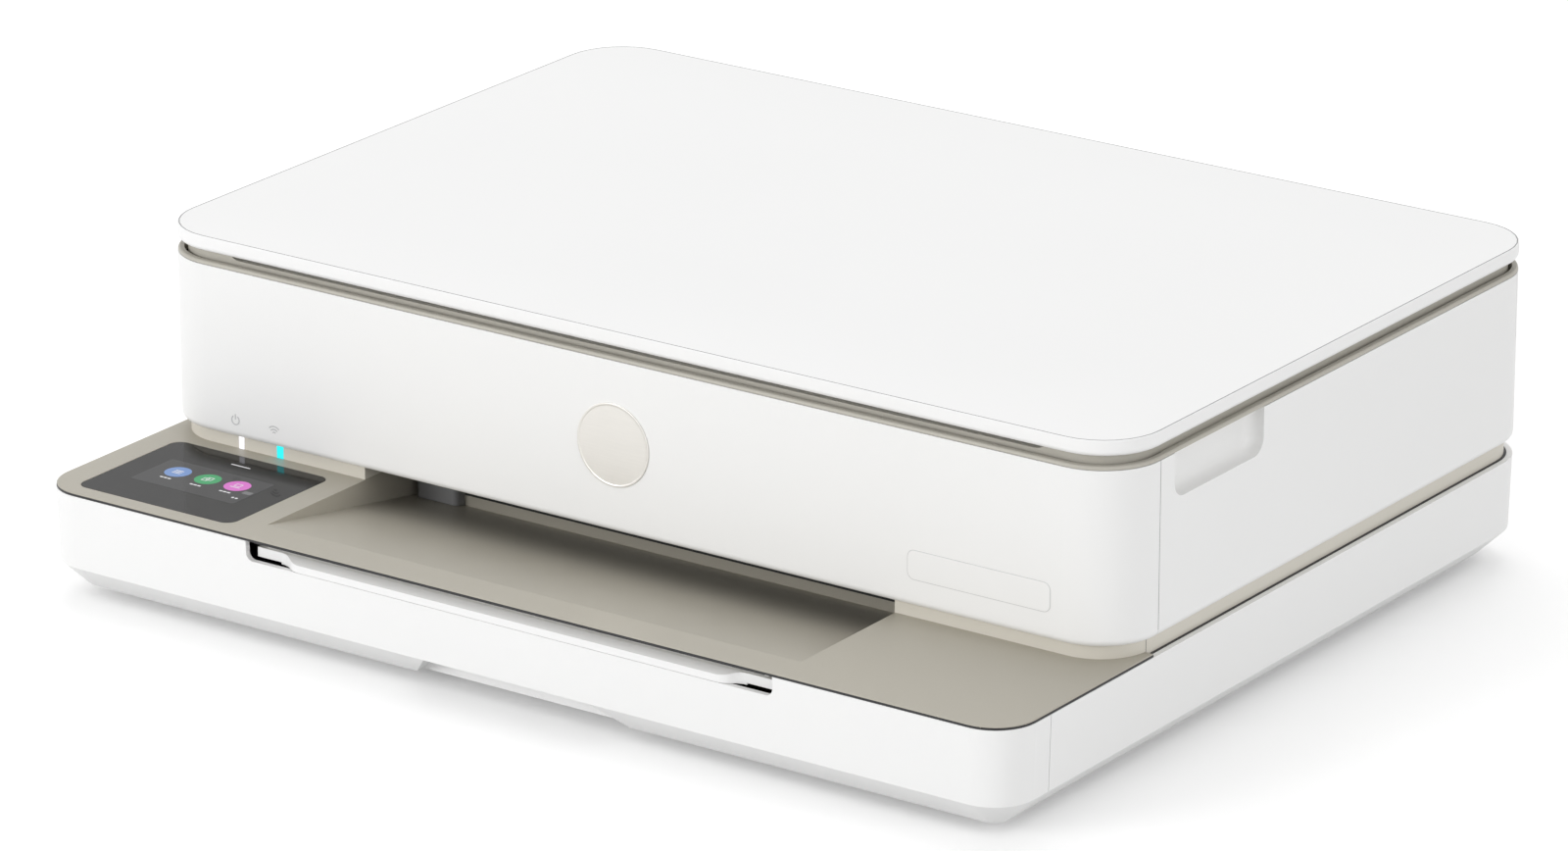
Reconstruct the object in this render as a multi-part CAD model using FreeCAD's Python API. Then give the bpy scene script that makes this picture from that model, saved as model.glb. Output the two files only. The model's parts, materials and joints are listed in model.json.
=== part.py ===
import FreeCAD, Part
import math
import os

from FreeCAD import Vector

# Driving dimensions of the housing, in millimetres.
WIDTH = 433.0
DEPTH = 360.0
SHELF = 70.0
R_UPPER = 24.0
R_SHELF = 17.0
UNDERSIDE = 4.5
BEVEL_TOP = 14.5
BEVEL_IN = 10.3
SHELL_DRAFT = 0.8
SHELL_TOP = 43.3
SHELL_WALL = 2.2
DECK_LIP = 43.9
DECK_TOP = 44.6
DECK_UNDER = 41.9
PANEL_BOTTOM = 50.0
PANEL_TOP = 116.1
PANEL_WALL = 3.2
PANEL_ROUND = 2.9
RIM_BOTTOM = 116.3
RIM_TOP = 117.6
BAND_TOP = 120.8
SCOOP_TOP = 119.0
LID_BOTTOM = 121.1
LID_EDGE = 127.25
LID_TOP = 128.85
CROWN_REACH = 60.0

# Seams between the outer shells.
SEAM = 0.3
UPPER_SEAM = -85.1
LOWER_SEAM = -153.35
DECK_SEAM = -87.7
REAR_SEAM = 163.7
REAR_STEP = 91.2
REAR_CORNER = 192.5

# Insets measured from the outer face of the upper body.
BAND_INSET = 3.3
BAND_WALL = 2.5
RIM_LEG = 1.5
RIM_INNER = 2.4
FRAME_OUTER = 3.9
FRAME_INNER = 6.3
TUB_INSET = 10.5
PAD_INSET = 7.0
PAD_BOTTOM = 118.7
PAD_BACK = 168.0
PAD_BACK_R = 14.0
LID_HOLLOW = 125.2

# Output bay, its sloping floor and the extender below it.
BAY_HALF = 119.3
BAY_WALL = 2.0
BAY_START = -165.0
BAY_BAR = -75.0
BAY_END = -70.0
BAY_SLOPE = 0.1656
FLOOR_THICK = 2.0
BAR_TOP = 35.5
BLOCK_RIGHT = -97.0
EXTENDER_DROP = 4.2
EXTENDER_THICK = 2.0
EXTENDER_HALF = 112.0
LIP_HALF = 115.0
LIP_BEND = (104.0, 93.0)
LIP_SET_BACK = 4.0
LIP_DEEP = 9.0
LIP_TOP = 40.4
LIP_GAP = 0.2

# Control glass in the deck, and the status lights behind it: centre in X and width.
GLASS = (-204.0, -130.7, -172.7, -112.7)
GLASS_R = 5.0
GLASS_THICK = 1.7
LIGHTS = ((-178.0, 2.4), (-159.5, 3.0))

# Side grip recess.
GRIP_FRONT = -76.0
GRIP_BACK = -17.0
GRIP_BOTTOM = 98.9
GRIP_DEPTH = 7.0
GRIP_R = 6.0

# Paper tray.
TRAY_HALF = 126.0
TRAY_FLOOR = 6.5
TRAY_FLOOR_TOP = 8.3
TRAY_WALL_TOP = 21.0
TRAY_BACK = 122.0
TRAY_CUT_HALF = 117.5
TRAY_CUT_BOTTOM = 35.8
PULL_TOP_HALF = 37.0
PULL_FOOT_HALF = 49.0
PULL_DEEP = 15.0
PULL_WALL = 2.0
GUIDE_X = 108.2
GUIDE_HALF = 38.0
GUIDE_TOP = 19.5
GUIDE_ARM = 4.5
PINION_TEETH = 13

# Print engine: frames, gear train and carriage.
FRAME_X = 195.0
FRAME_SHEET = 1.5
CHASSIS_UNDER = 33.0
CHASSIS_TOP = 35.5
TRAIN_Z = 40.0
TRAIN_Y = (60.0, 30.0, 0.0, -30.0, -60.0)
TRAIN_TEETH = 30
MOTOR_TEETH = 15
MODULE = 1.0
PLAY = 0.3
GEAR_X = (-206.0, -200.0)
FEED_SHAFT_R = 3.0
OUTPUT_SHAFT_R = 2.5
STUD_R = 2.5
ROD_Y = 24.5
ROD_Z = 53.0
ROD_R = 4.0
CARRIAGE_X = 152.0
BELT_Y = 39.0
BELT_R = 5.3
BELT_THICK = 1.2
BELT_Z = (64.3, 69.7)
PULLEY_X = (-178.0, 186.0)
RAIL_Y = 46.0
FIT = 0.05

# Hinge lines: the scanner unit low on the back, the lid just under its rear edge.
ACCESS_Y = 177.7
ACCESS_Z = 91.5
LID_AXIS_Y = 178.0
LID_AXIS_Z = 120.5
HINGE_PIN_R = 1.2
LUG_ACCESS = (100.0, 116.0)
LUG_LID = (112.0, 128.0)

# Paper pick-up arm.
PICK_Y = 112.0
PICK_Z = 44.0
PICK_ROLLER_Y = 84.0
PICK_ROLLER_Z = 25.0
PICK_R = 8.0
PICK_SHAFT_R = 2.5
PICK_POST = (42.0, 47.0)
PICK_WINDOW = 32.0

# Rear sockets and buttons: centres in X and Z.
INLET = (150.0, 70.0)
USB = (-120.0, 68.5)
POWER_BUTTON = (-60.0, 72.0)
WIRELESS_BUTTON = (-40.0, 72.0)

HALF = WIDTH / 2
FRONT = -DEPTH / 2
BACK = DEPTH / 2
FACE = FRONT + SHELF
FAR = 400.0


def box(x0, x1, y0, y1, z0, z1):
    """Straight block between two corners."""
    return Part.makeBox(x1 - x0, y1 - y0, z1 - z0, Vector(x0, y0, z0))


def outline(x0, x1, y0, y1, radii, z=0.0):
    """Level wire with its own radius on each corner, from the front left round to the back left."""
    rest = 1 - math.sqrt(0.5)
    corners = ((x0, y0, 1, 1), (x1, y0, -1, 1), (x1, y1, -1, -1), (x0, y1, 1, -1))
    arcs = []
    for index, (x, y, in_x, in_y) in enumerate(corners):
        r = max(radii[index], 0.05)
        on_side = Vector(x, y + in_y * r, z)
        on_end = Vector(x + in_x * r, y, z)
        middle = Vector(x + in_x * r * rest, y + in_y * r * rest, z)
        start, end = (on_side, on_end) if index % 2 == 0 else (on_end, on_side)
        arcs.append((start, middle, end))
    edges = []
    for index, (start, middle, end) in enumerate(arcs):
        edges.append(Part.Arc(start, middle, end).toShape())
        following = arcs[(index + 1) % 4][0]
        if (following - end).Length > 1e-6:
            edges.append(Part.LineSegment(end, following).toShape())
    return Part.Wire(edges)


def four(radii):
    """The same radius on all four corners, or the four that are given."""
    return radii * 4 if len(radii) == 1 else radii


def plate(x0, x1, y0, y1, z0, z1, *radii):
    """Level plate with rounded corners."""
    return Part.Face(outline(x0, x1, y0, y1, four(radii), z0)).extrude(Vector(0, 0, z1 - z0))


def wall_plate(x0, x1, z0, z1, y0, y1, *radii):
    """Plate with rounded corners that faces along Y."""
    face = Part.Face(outline(x0, x1, z0, z1, four(radii)))
    face.rotate(Vector(), Vector(1, 0, 0), 90)
    face.translate(Vector(0, y0, 0))
    return face.extrude(Vector(0, y1 - y0, 0))


def side_plate(y0, y1, z0, z1, x0, x1, *radii):
    """Plate with rounded corners that faces along X."""
    face = Part.Face(outline(y0, y1, z0, z1, four(radii)))
    face.rotate(Vector(), Vector(1, 1, 1), 120)
    face.translate(Vector(x0, 0, 0))
    return face.extrude(Vector(x1 - x0, 0, 0))


def across(profile, x0, x1):
    """Section in Y and Z carried along X."""
    points = [Vector(x0, y, z) for y, z in profile]
    return Part.Face(Part.makePolygon(points + points[:1])).extrude(Vector(x1 - x0, 0, 0))


def along(profile, y0, y1):
    """Section in X and Z carried along Y."""
    points = [Vector(x, y0, z) for x, z in profile]
    return Part.Face(Part.makePolygon(points + points[:1])).extrude(Vector(0, y1 - y0, 0))


def upright(profile, z0, z1):
    """Plan outline in X and Y carried up Z."""
    points = [Vector(x, y, z0) for x, y in profile]
    return Part.Face(Part.makePolygon(points + points[:1])).extrude(Vector(0, 0, z1 - z0))


def rod(x0, x1, y, z, r):
    """Round bar along X."""
    return Part.makeCylinder(r, x1 - x0, Vector(x0, y, z), Vector(1, 0, 0))


def post(x, y, z0, z1, r):
    """Round bar along Z."""
    return Part.makeCylinder(r, z1 - z0, Vector(x, y, z0), Vector(0, 0, 1))


def plunger(x, z, y0, y1, r):
    """Round bar along Y."""
    return Part.makeCylinder(r, y1 - y0, Vector(x, y0, z), Vector(0, 1, 0))


def fuse(*shapes):
    """One clean solid from pieces that meet."""
    whole = shapes[0].fuse(list(shapes[1:])) if len(shapes) > 1 else shapes[0]
    return whole.removeSplitter()


def both_sides(shape):
    """The shape and its mirror image across the middle plane."""
    return [shape, shape.mirror(Vector(), Vector(1, 0, 0))]


def soften(shape, radius, wanted):
    """Round the edges that a test picks."""
    edges = [edge for edge in shape.Edges if wanted(edge.BoundBox)]
    return shape.makeFillet(radius, edges)


def chamfer(shape, size, wanted):
    """Bevel the edges that a test picks."""
    edges = [edge for edge in shape.Edges if wanted(edge.BoundBox)]
    return shape.makeChamfer(size, edges)


def keep_y(shape, y0, y1):
    """The slice of a shape between two planes across Y."""
    return shape.common(box(-FAR, FAR, y0, y1, -FAR, FAR))


def gear_points(teeth, phase):
    """Spur gear outline: straight flanks at 20 degrees, with play in the mesh."""
    pitch_r = MODULE * teeth / 2
    thick = math.pi * MODULE / 2 - PLAY
    flank = math.tan(math.radians(20))
    points = []
    for tooth in range(teeth):
        middle = math.radians(phase) + 2 * math.pi * tooth / teeth
        for rise, side in ((-1.25, -1), (0.8, -1), (0.8, 1), (-1.25, 1)):
            radius = pitch_r + rise * MODULE
            angle = middle + side * (thick / 2 - rise * MODULE * flank) / radius
            points.append((radius * math.cos(angle), radius * math.sin(angle)))
    return points


def train_gear(y, z, teeth, phase, bore):
    """Gear of the feed train, on the left of its side frame."""
    profile = [(y + a, z + b) for a, b in gear_points(teeth, phase)]
    x0, x1 = GEAR_X
    web = rod(x0 - 1, x0 + 1.6, y, z, MODULE * teeth / 2 - 3.2)
    hub = rod(x0 - 1, x0 + 1.6, y, z, bore + 2.2)
    body = across(profile, x0, x1)
    if teeth > MOTOR_TEETH:
        body = body.cut(web.cut(hub))
    return body.cut(rod(x0 - 1, x1 + 1, y, z, bore))


def upper_section(inset, z):
    """Plan outline of the upper body, drawn in by a distance."""
    r = R_UPPER - inset
    return outline(-HALF + inset, HALF - inset, FACE + inset, BACK - inset, (r, r, r, r), z)


def upper_form(inset, z0, z1):
    """Upright block with the upper body's outline."""
    return Part.Face(upper_section(inset, z0)).extrude(Vector(0, 0, z1 - z0))


def upper_ring(outer, inner, z0, z1):
    """Wall that follows the upper body's outline."""
    return upper_form(outer, z0, z1).cut(upper_form(inner, z0 - 1, z1 + 1))


def lower_section(inset, z):
    """Plan outline of the lower housing, drawn in by a distance."""
    front = R_SHELF - inset
    back = R_UPPER - inset
    return outline(-HALF + inset, HALF - inset, FRONT + inset, BACK - inset, (front, front, back, back), z)


def lower_form(inset, z0, z1):
    """Upright block with the lower housing's outline."""
    return Part.Face(lower_section(inset, z0)).extrude(Vector(0, 0, z1 - z0))


def lower_block():
    """Outer form of the lower housing: a drafted wall over a bevelled foot."""
    outer = [(SHELL_DRAFT + BEVEL_IN, UNDERSIDE), (SHELL_DRAFT, BEVEL_TOP), (0.0, SHELL_TOP)]
    return Part.makeLoft([lower_section(inset, z) for inset, z in outer], True, True)


def lower_housing(floor):
    """The lower housing hollowed out, before it is divided at the tray seam."""
    inner = [(SHELL_DRAFT + BEVEL_IN + 1.4, UNDERSIDE + floor),
             (SHELL_DRAFT + SHELL_WALL, BEVEL_TOP + 1.0),
             (SHELL_WALL, SHELL_TOP + 1.0)]
    hollow = Part.makeLoft([lower_section(inset, z) for inset, z in inner], True, True)
    return lower_block().cut(hollow)


def bay_floor(y):
    """Height of the output bay's sloping floor."""
    return DECK_TOP - BAY_SLOPE * (y - BAY_START)


def base_shell():
    """White lower shell behind the tray front, with ledges, tray rails and chassis posts."""
    shell = keep_y(lower_housing(1.6), LOWER_SEAM + SEAM / 2, FAR)
    inside = HALF - 7.5
    wall = HALF - SHELL_WALL + 0.2
    pieces = [shell, box(-REAR_CORNER, REAR_CORNER, 170, BACK - SHELL_WALL + 0.2, 33, 36)]
    pieces += both_sides(box(inside, wall, LOWER_SEAM + 4, DECK_SEAM, 38.9, DECK_UNDER))
    pieces += both_sides(box(inside, wall, DECK_SEAM + 2, 150, 33, 36))
    pieces += both_sides(box(TRAY_HALF + 0.6, TRAY_HALF + 2.6, LOWER_SEAM + 1, TRAY_BACK + 4, 5.5, 16))
    pieces.append(box(-60, 60, TRAY_BACK + 1, TRAY_BACK + 3, 5.5, 13))
    for y in (-36.0, 60.0, 140.0):
        pieces += both_sides(post(165, y, 5.5, CHASSIS_UNDER, 6))
    for y in (138.0, 156.0):
        pieces.append(box(-TRAY_HALF, TRAY_HALF, y, y + 1.6, 5.5, 12))
    return fuse(*pieces)


def rubber_feet():
    """Four round feet with a bevelled lower edge."""
    feet = []
    for y in (-128.0, 140.0):
        for x in (-165.0, 165.0):
            foot = post(x, y, 0, UNDERSIDE, 9)
            feet.append(chamfer(foot, 1.0, lambda b: b.ZMax < 0.01))
    return Part.makeCompound(feet)


def tray_front():
    """Lower front of the housing, the face of the pull-out tray."""
    front = keep_y(lower_housing(TRAY_FLOOR - UNDERSIDE), -FAR, LOWER_SEAM - SEAM / 2)
    window = wall_plate(-TRAY_CUT_HALF, TRAY_CUT_HALF, TRAY_CUT_BOTTOM, 60, FRONT - 5, FRONT + 9, 3.0)
    pull = along(pull_section(0.0), FRONT - 5, FRONT + PULL_DEEP)
    liner = along(pull_section(PULL_WALL), FRONT + 2.4, FRONT + PULL_DEEP + PULL_WALL)
    pieces = [front, liner.common(lower_block())]
    for x in (135.0, 165.0, 195.0):
        rib = box(x, x + 1.6, FRONT + 1.5, FRONT + 7, BEVEL_TOP, SHELL_TOP - 5)
        pieces += both_sides(rib.common(lower_block()))
    return fuse(*pieces).cut([window, pull])


def pull_section(grow):
    """Finger notch under the tray's face: narrow above, wide at the foot."""
    top = PULL_TOP_HALF + grow
    foot = PULL_FOOT_HALF + grow
    high = BEVEL_TOP + grow
    low = UNDERSIDE - 1 + grow / 2
    return [(-top, high), (top, high), (foot, low), (-foot, low)]


def tray_pan():
    """Paper tray with ribs under the stack and a gap for the pick-up roller at its back."""
    front = FRONT + 12.5
    foot = PULL_FOOT_HALF + PULL_WALL
    notch = box(-foot, foot, front - 1, FRONT + PULL_DEEP + PULL_WALL, 0, TRAY_WALL_TOP)
    floor = plate(-TRAY_HALF, TRAY_HALF, front, TRAY_BACK, TRAY_FLOOR, TRAY_FLOOR_TOP, 3.0)
    pieces = [floor.cut(notch)]
    pieces += both_sides(box(TRAY_HALF - 2, TRAY_HALF, front + 3, TRAY_BACK - 3, TRAY_FLOOR, TRAY_WALL_TOP))
    pieces += both_sides(box(36, TRAY_HALF - 3, TRAY_BACK - 2, TRAY_BACK, TRAY_FLOOR, 18))
    for x in (32.0, 62.0, 92.0):
        for y0, y1 in ((front + 6, -GUIDE_HALF - 2), (GUIDE_HALF + 2, TRAY_BACK - 6)):
            pieces += both_sides(box(x, x + 1.6, y0, y1, TRAY_FLOOR, TRAY_FLOOR_TOP + 2.2))
    pieces.append(post(0, 0, TRAY_FLOOR, TRAY_FLOOR_TOP + 1.6, 2.0))
    return fuse(*pieces)


def rack_points(reach, mid_tooth):
    """Toothed edge of a width guide's arm, drawn along X with its pitch line on Y = 0."""
    pitch = math.pi * MODULE
    thick = pitch / 2 - PLAY
    flank = math.tan(math.radians(20))
    points = []
    for step in range(-reach, reach + 1):
        middle = (step if mid_tooth else step + 0.5) * pitch
        for rise, side in ((-1.25, -1), (0.8, -1), (0.8, 1), (-1.25, 1)):
            points.append((middle + side * (thick / 2 - rise * MODULE * flank), rise * MODULE))
    return points


def width_guide(mid_tooth):
    """Left paper guide: wall, foot and the arm with a rack that meets the pinion."""
    pitch_y = MODULE * PINION_TEETH / 2
    low = TRAY_FLOOR_TOP + 0.3
    top = low + 1.3
    root = pitch_y + 1.25 * MODULE
    edge = pitch_y + GUIDE_ARM
    teeth = [(x, pitch_y - rise) for x, rise in rack_points(4, mid_tooth)]
    arm = [(-GUIDE_X, edge), (-GUIDE_X, root)] + teeth + [(20, root), (20, edge)]
    wall = side_plate(-GUIDE_HALF, GUIDE_HALF, low, GUIDE_TOP, -GUIDE_X - 2, -GUIDE_X, 1.0, 1.0, 6.0, 6.0)
    feet = [box(-GUIDE_X - 10, -GUIDE_X, y0, y1, low, top) for y0, y1 in ((-36, -14), (14, 36))]
    ribs = [box(-GUIDE_X - 3.5, -GUIDE_X - 0.5, y, y + 1.6, low, GUIDE_TOP - 1.5) for y in (-30, 28.4)]
    slot = box(-GUIDE_X - 20, -GUIDE_X + 1, -edge - 0.7, -root + 3.5, low - 1, top + 0.5)
    return fuse(wall, upright(arm, low, top), *feet, *ribs).cut(slot)


def width_guide_right():
    """Right paper guide: the left one turned half round, its rack half a tooth on."""
    guide = width_guide(True)
    guide.rotate(Vector(), Vector(0, 0, 1), 180)
    return guide


def guide_pinion():
    """Small gear between the two racks, on a post of the tray."""
    low = TRAY_FLOOR_TOP + 0.3
    wheel = upright(gear_points(PINION_TEETH, 90), low, low + 1.3)
    return wheel.cut(post(0, 0, low - 1, low + 3, 2.0 + FIT))


def output_deck():
    """Beige deck: shelf, front strip and the sloping output bay, in one moulding."""
    lip = keep_y(lower_form(0.3, DECK_LIP, DECK_TOP), -FAR, DECK_SEAM - SEAM / 2)
    lip = soften(lip, 0.45, lambda b: b.ZMin > DECK_TOP - 0.01 and b.YMin < DECK_SEAM - 1)
    slab = keep_y(lower_form(SHELL_WALL + 0.8, DECK_UNDER, DECK_LIP + 0.1), -FAR, DECK_SEAM - SEAM / 2)
    strip = upper_ring(BAND_INSET, BAND_INSET + BAND_WALL, DECK_UNDER, 60)
    strip = keep_y(strip, -FAR, DECK_SEAM - SEAM / 2)
    mouth = box(-BAY_HALF, BAY_HALF, BAY_START, BAY_END, 20, 70)
    relief = box(-BAY_HALF, BAY_HALF, FRONT - 1, BAY_START, 20, DECK_LIP)
    top = [(BAY_START - 1, DECK_TOP), (BAY_START, DECK_TOP), (BAY_BAR, bay_floor(BAY_BAR))]
    under = [(BAY_BAR + 5, bay_floor(BAY_BAR) - FLOOR_THICK), (BAY_START - 1, DECK_TOP - FLOOR_THICK + 0.3)]
    outside = BAY_HALF + BAY_WALL
    floor = across(top + [(BAY_BAR + 5, bay_floor(BAY_BAR))] + under, -outside, outside)
    bar = across([(BAY_BAR, bay_floor(BAY_BAR) - 1), (BAY_BAR, BAR_TOP - 1), (BAY_BAR + 1, BAR_TOP),
                  (BAY_END, BAR_TOP), (BAY_END, bay_floor(BAY_BAR) - 1)], BLOCK_RIGHT, BAY_HALF)
    cheek = [(BAY_START, DECK_TOP), (BAY_START, DECK_TOP - 1), (BAY_END, bay_floor(BAY_END) - FLOOR_THICK),
             (BAY_END, 60), (FACE + BAND_INSET, 60), (FACE + BAND_INSET, DECK_TOP)]
    walls = both_sides(across(cheek, BAY_HALF, BAY_HALF + BAY_WALL))
    x0, x1, y0, y1 = GLASS
    recess = plate(x0 - 0.1, x1 + 0.1, y0 - 0.1, y1 + 0.1, DECK_TOP - GLASS_THICK, DECK_TOP + 1, GLASS_R)
    window = plate(x0 + 6, x1 - 6, y0 + 6, y1 - 6, DECK_UNDER - 1, DECK_TOP, 3.0)
    slots = [light_bar(x, w + 0.2, FACE, DECK_TOP, PANEL_BOTTOM + 1) for x, w in LIGHTS]
    shelf = fuse(lip, slab, strip).cut([mouth, relief, recess, window] + slots)
    return fuse(shelf, floor, bar, *walls)


def light_pipes():
    """Two clear bars that carry the status lights through the strip."""
    front = FACE + BAND_INSET - 0.05
    return Part.makeCompound([light_bar(x, w, front, DECK_TOP + 0.1, PANEL_BOTTOM + 0.9) for x, w in LIGHTS])


def light_bar(x, width, front, z0, z1):
    """Upright bar through the strip at one of the status lights."""
    return box(x - width / 2, x + width / 2, front, FACE + BAND_INSET + BAND_WALL + 1, z0, z1)


def control_glass():
    """Flush touch glass over the display."""
    x0, x1, y0, y1 = GLASS
    glass = plate(x0, x1, y0, y1, DECK_TOP - GLASS_THICK, DECK_TOP - 0.05, GLASS_R - 0.1)
    return soften(glass, 0.3, lambda b: b.ZMin > DECK_TOP - 0.06)


def display_module():
    """Display under the glass, on its circuit board with a flat connector."""
    x0, x1, y0, y1 = GLASS
    screen = plate(x0 + 7, x1 - 7, y0 + 7, y1 - 7, 37.6, DECK_TOP - GLASS_THICK, 2.5)
    board = plate(x0 + 2, x1 - 2, y0 + 4, y1 + 2, 36, 37.6, 2.0)
    plug = box(x0 + 20, x0 + 44, y1 - 8, y1 - 2, 33.5, 36)
    return fuse(screen, board, plug)


def exit_guide_block():
    """Grey block that closes the back left corner of the output bay."""
    base = bay_floor(BAY_BAR - 5)
    seat = bay_floor(BAY_BAR) + 0.2
    profile = [(BAY_BAR - 5, base + 0.2), (BAY_BAR - 5, 49), (BAY_END, 52), (BAY_END, seat), (BAY_BAR, seat)]
    block = across(profile, -BAY_HALF + 2.8, BLOCK_RIGHT - 0.2)
    return soften(block, 2.5, lambda b: b.YMax < BAY_BAR - 4.9 and b.XLength < 0.01)


def mid_frame():
    """Beige band between the shells behind the deck, with a ledge that carries the panels."""
    ring = keep_y(upper_ring(BAND_INSET, BAND_INSET + BAND_WALL, 36, 60), DECK_SEAM + SEAM / 2, FAR)
    flange = keep_y(upper_ring(BAND_INSET, BAND_INSET + 6, 36, 38), DECK_SEAM + SEAM / 2, FAR)
    ports = [box(x - half, x + half, 150, FAR, 58, FAR) for x, half in ((INLET[0], 12), (USB[0], 9))]
    return fuse(ring, flange).cut(ports)


def panel_ring():
    """Upper white wall all round: rounded below, rebated inside its top edge."""
    wall = upper_ring(0.0, PANEL_WALL, PANEL_BOTTOM, PANEL_TOP)
    wall = wall.cut(upper_ring(RIM_LEG - 0.3, PANEL_WALL + 1, PANEL_TOP - 4.6, PANEL_TOP + 1))
    lower = [edge for edge in wall.Edges if edge.BoundBox.ZMax < PANEL_BOTTOM + 0.01 and on_outer(edge)]
    wall = wall.makeFillet(PANEL_ROUND, lower)
    return fuse(wall, upper_ring(PANEL_WALL - 0.1, PANEL_WALL + 3.4, 60, 62))


def on_outer(edge):
    """Whether an edge lies on the upper body's outer face."""
    middle = edge.valueAt((edge.FirstParameter + edge.LastParameter) / 2)
    x = abs(middle.x)
    y = middle.y
    if x > HALF - 0.01 or y < FACE + 0.01 or y > BACK - 0.01:
        return True
    centre_y = FACE + R_UPPER if y < 0 else BACK - R_UPPER
    return abs(math.hypot(x - (HALF - R_UPPER), y - centre_y) - R_UPPER) < 0.01


def front_panel(ring):
    """Upper front with stiffening ribs inside."""
    panel = keep_y(ring, -FAR, UPPER_SEAM - SEAM / 2)
    pieces = [panel]
    for x in (45.0, 95.0, 145.0, 185.0):
        pieces += both_sides(box(x, x + 1.8, FACE + PANEL_WALL - 0.2, FACE + PANEL_WALL + 3.4, 61, 108))
    return fuse(*pieces)


def side_panel(ring):
    """Right side with its grip recess; the lower part runs round the rear corner."""
    upper = box(0, FAR, UPPER_SEAM + SEAM / 2, REAR_SEAM - SEAM / 2, 0, FAR)
    wrap = box(REAR_CORNER + SEAM / 2, FAR, REAR_SEAM - 1, FAR, 0, REAR_STEP)
    panel = fuse(ring.common(upper), ring.common(wrap))
    panel = panel.cut(box(0, FAR, ACCESS_Y - 2.8, FAR, ACCESS_Z - 3, FAR))
    back_wall = HALF - GRIP_DEPTH
    bump = side_plate(GRIP_FRONT - 2.5, GRIP_BACK + 2.5, GRIP_BOTTOM - 2.5, PANEL_TOP,
                      back_wall - 2.5, HALF - 1.0, GRIP_R, GRIP_R, 0.1, 0.1)
    scoop = side_plate(GRIP_FRONT, GRIP_BACK, GRIP_BOTTOM, PANEL_TOP + 12, back_wall, HALF + 5, GRIP_R)
    scoop = soften(scoop, 4.5, lambda b: b.XMax < back_wall + 0.01)
    return fuse(panel, bump).cut(scoop)


def rear_wall(ring):
    """Fixed lower back with sockets, buttons, vents and the lugs of the access hinge."""
    wall = ring.common(box(-REAR_CORNER + SEAM / 2, REAR_CORNER - SEAM / 2, 160, FAR, 0, ACCESS_Z - 3))
    pieces = [wall]
    x0, x1 = LUG_ACCESS
    arm = fuse(rod(x0, x1, ACCESS_Y, ACCESS_Z, 2.2), box(x0, x1, ACCESS_Y - 2.2, BACK - 0.1, 80, ACCESS_Z))
    pieces += both_sides(arm)
    holes = both_sides(rod(x0 - 1, x1 + 1, ACCESS_Y, ACCESS_Z, HINGE_PIN_R + FIT))
    holes.append(wall_plate(INLET[0] - 10.1, INLET[0] + 10.1, INLET[1] - 7.1, INLET[1] + 7.1, 160, FAR, 1.5))
    holes.append(wall_plate(USB[0] - 7.1, USB[0] + 7.1, USB[1] - 6.6, USB[1] + 6.6, 160, FAR, 1.0))
    for (x, z), r in ((POWER_BUTTON, 4.8), (WIRELESS_BUTTON, 3.8)):
        holes.append(plunger(x, z, 160, FAR, r))
    for step in range(10):
        x = 16 + 7 * step
        holes.append(wall_plate(x, x + 3, 64, 80, 160, FAR, 1.4))
    return fuse(*pieces).cut(holes)


def rear_button(place, r):
    """Round push button with a flange behind the wall."""
    x, z = place
    cap = plunger(x, z, BACK - 9, BACK - 0.2, r)
    cap = chamfer(cap, 0.5, lambda b: b.YMin > BACK - 0.21)
    return fuse(cap, plunger(x, z, BACK - 9, BACK - 7.4, r + 1.6))


def power_inlet():
    """Two-pin inlet socket with a figure-of-eight opening."""
    x, z = INLET
    body = wall_plate(x - 10, x + 10, z - 7, z + 7, 157, BACK - 0.3, 1.4)
    eight = [plunger(x + side * 4.3, z, BACK - 14, FAR, 4.4) for side in (-1, 1)]
    eight.append(box(x - 4.3, x + 4.3, BACK - 14, FAR, z - 3.4, z + 3.4))
    pins = [plunger(x + side * 4.3, z, BACK - 15, BACK - 4, 1.2) for side in (-1, 1)]
    return fuse(body.cut(eight), *pins)


def usb_socket():
    """Square data socket with its tongue."""
    x, z = USB
    body = wall_plate(x - 7, x + 7, z - 6.5, z + 6.5, 152.1, BACK - 0.3, 0.8)
    hollow = box(x - 4.6, x + 4.6, BACK - 14, FAR, z - 4.2, z + 4.2)
    tongue = box(x - 2.8, x + 2.8, BACK - 15, BACK - 6, z - 1.4, z + 1.4)
    return fuse(body.cut(hollow), tongue)


def chassis_floor():
    """Floor of the print engine with its openings and the posts of the pick-up shaft."""
    floor = plate(-FRAME_X - 2.5, FRAME_X + 2.5, -48, 150, CHASSIS_UNDER, CHASSIS_TOP, 4.0)
    roller_slot = plate(-114, 114, TRAIN_Y[0] - 9, TRAIN_Y[0] + 9, 30, 40, 3.0)
    pick_window = plate(-PICK_WINDOW, PICK_WINDOW, PICK_ROLLER_Y - 13, PICK_Y + 10, 30, 40, 4.0)
    side = [(PICK_Y - 7, CHASSIS_TOP - 1), (PICK_Y - 4, PICK_Z + 5), (PICK_Y + 4, PICK_Z + 5),
            (PICK_Y + 7, CHASSIS_TOP - 1)]
    posts = both_sides(across(side, PICK_POST[0], PICK_POST[1]))
    bearing = rod(-PICK_POST[1] - 1, PICK_POST[1] + 1, PICK_Y, PICK_Z, PICK_SHAFT_R + FIT)
    return fuse(floor.cut([roller_slot, pick_window]), *posts).cut(bearing)


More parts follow.
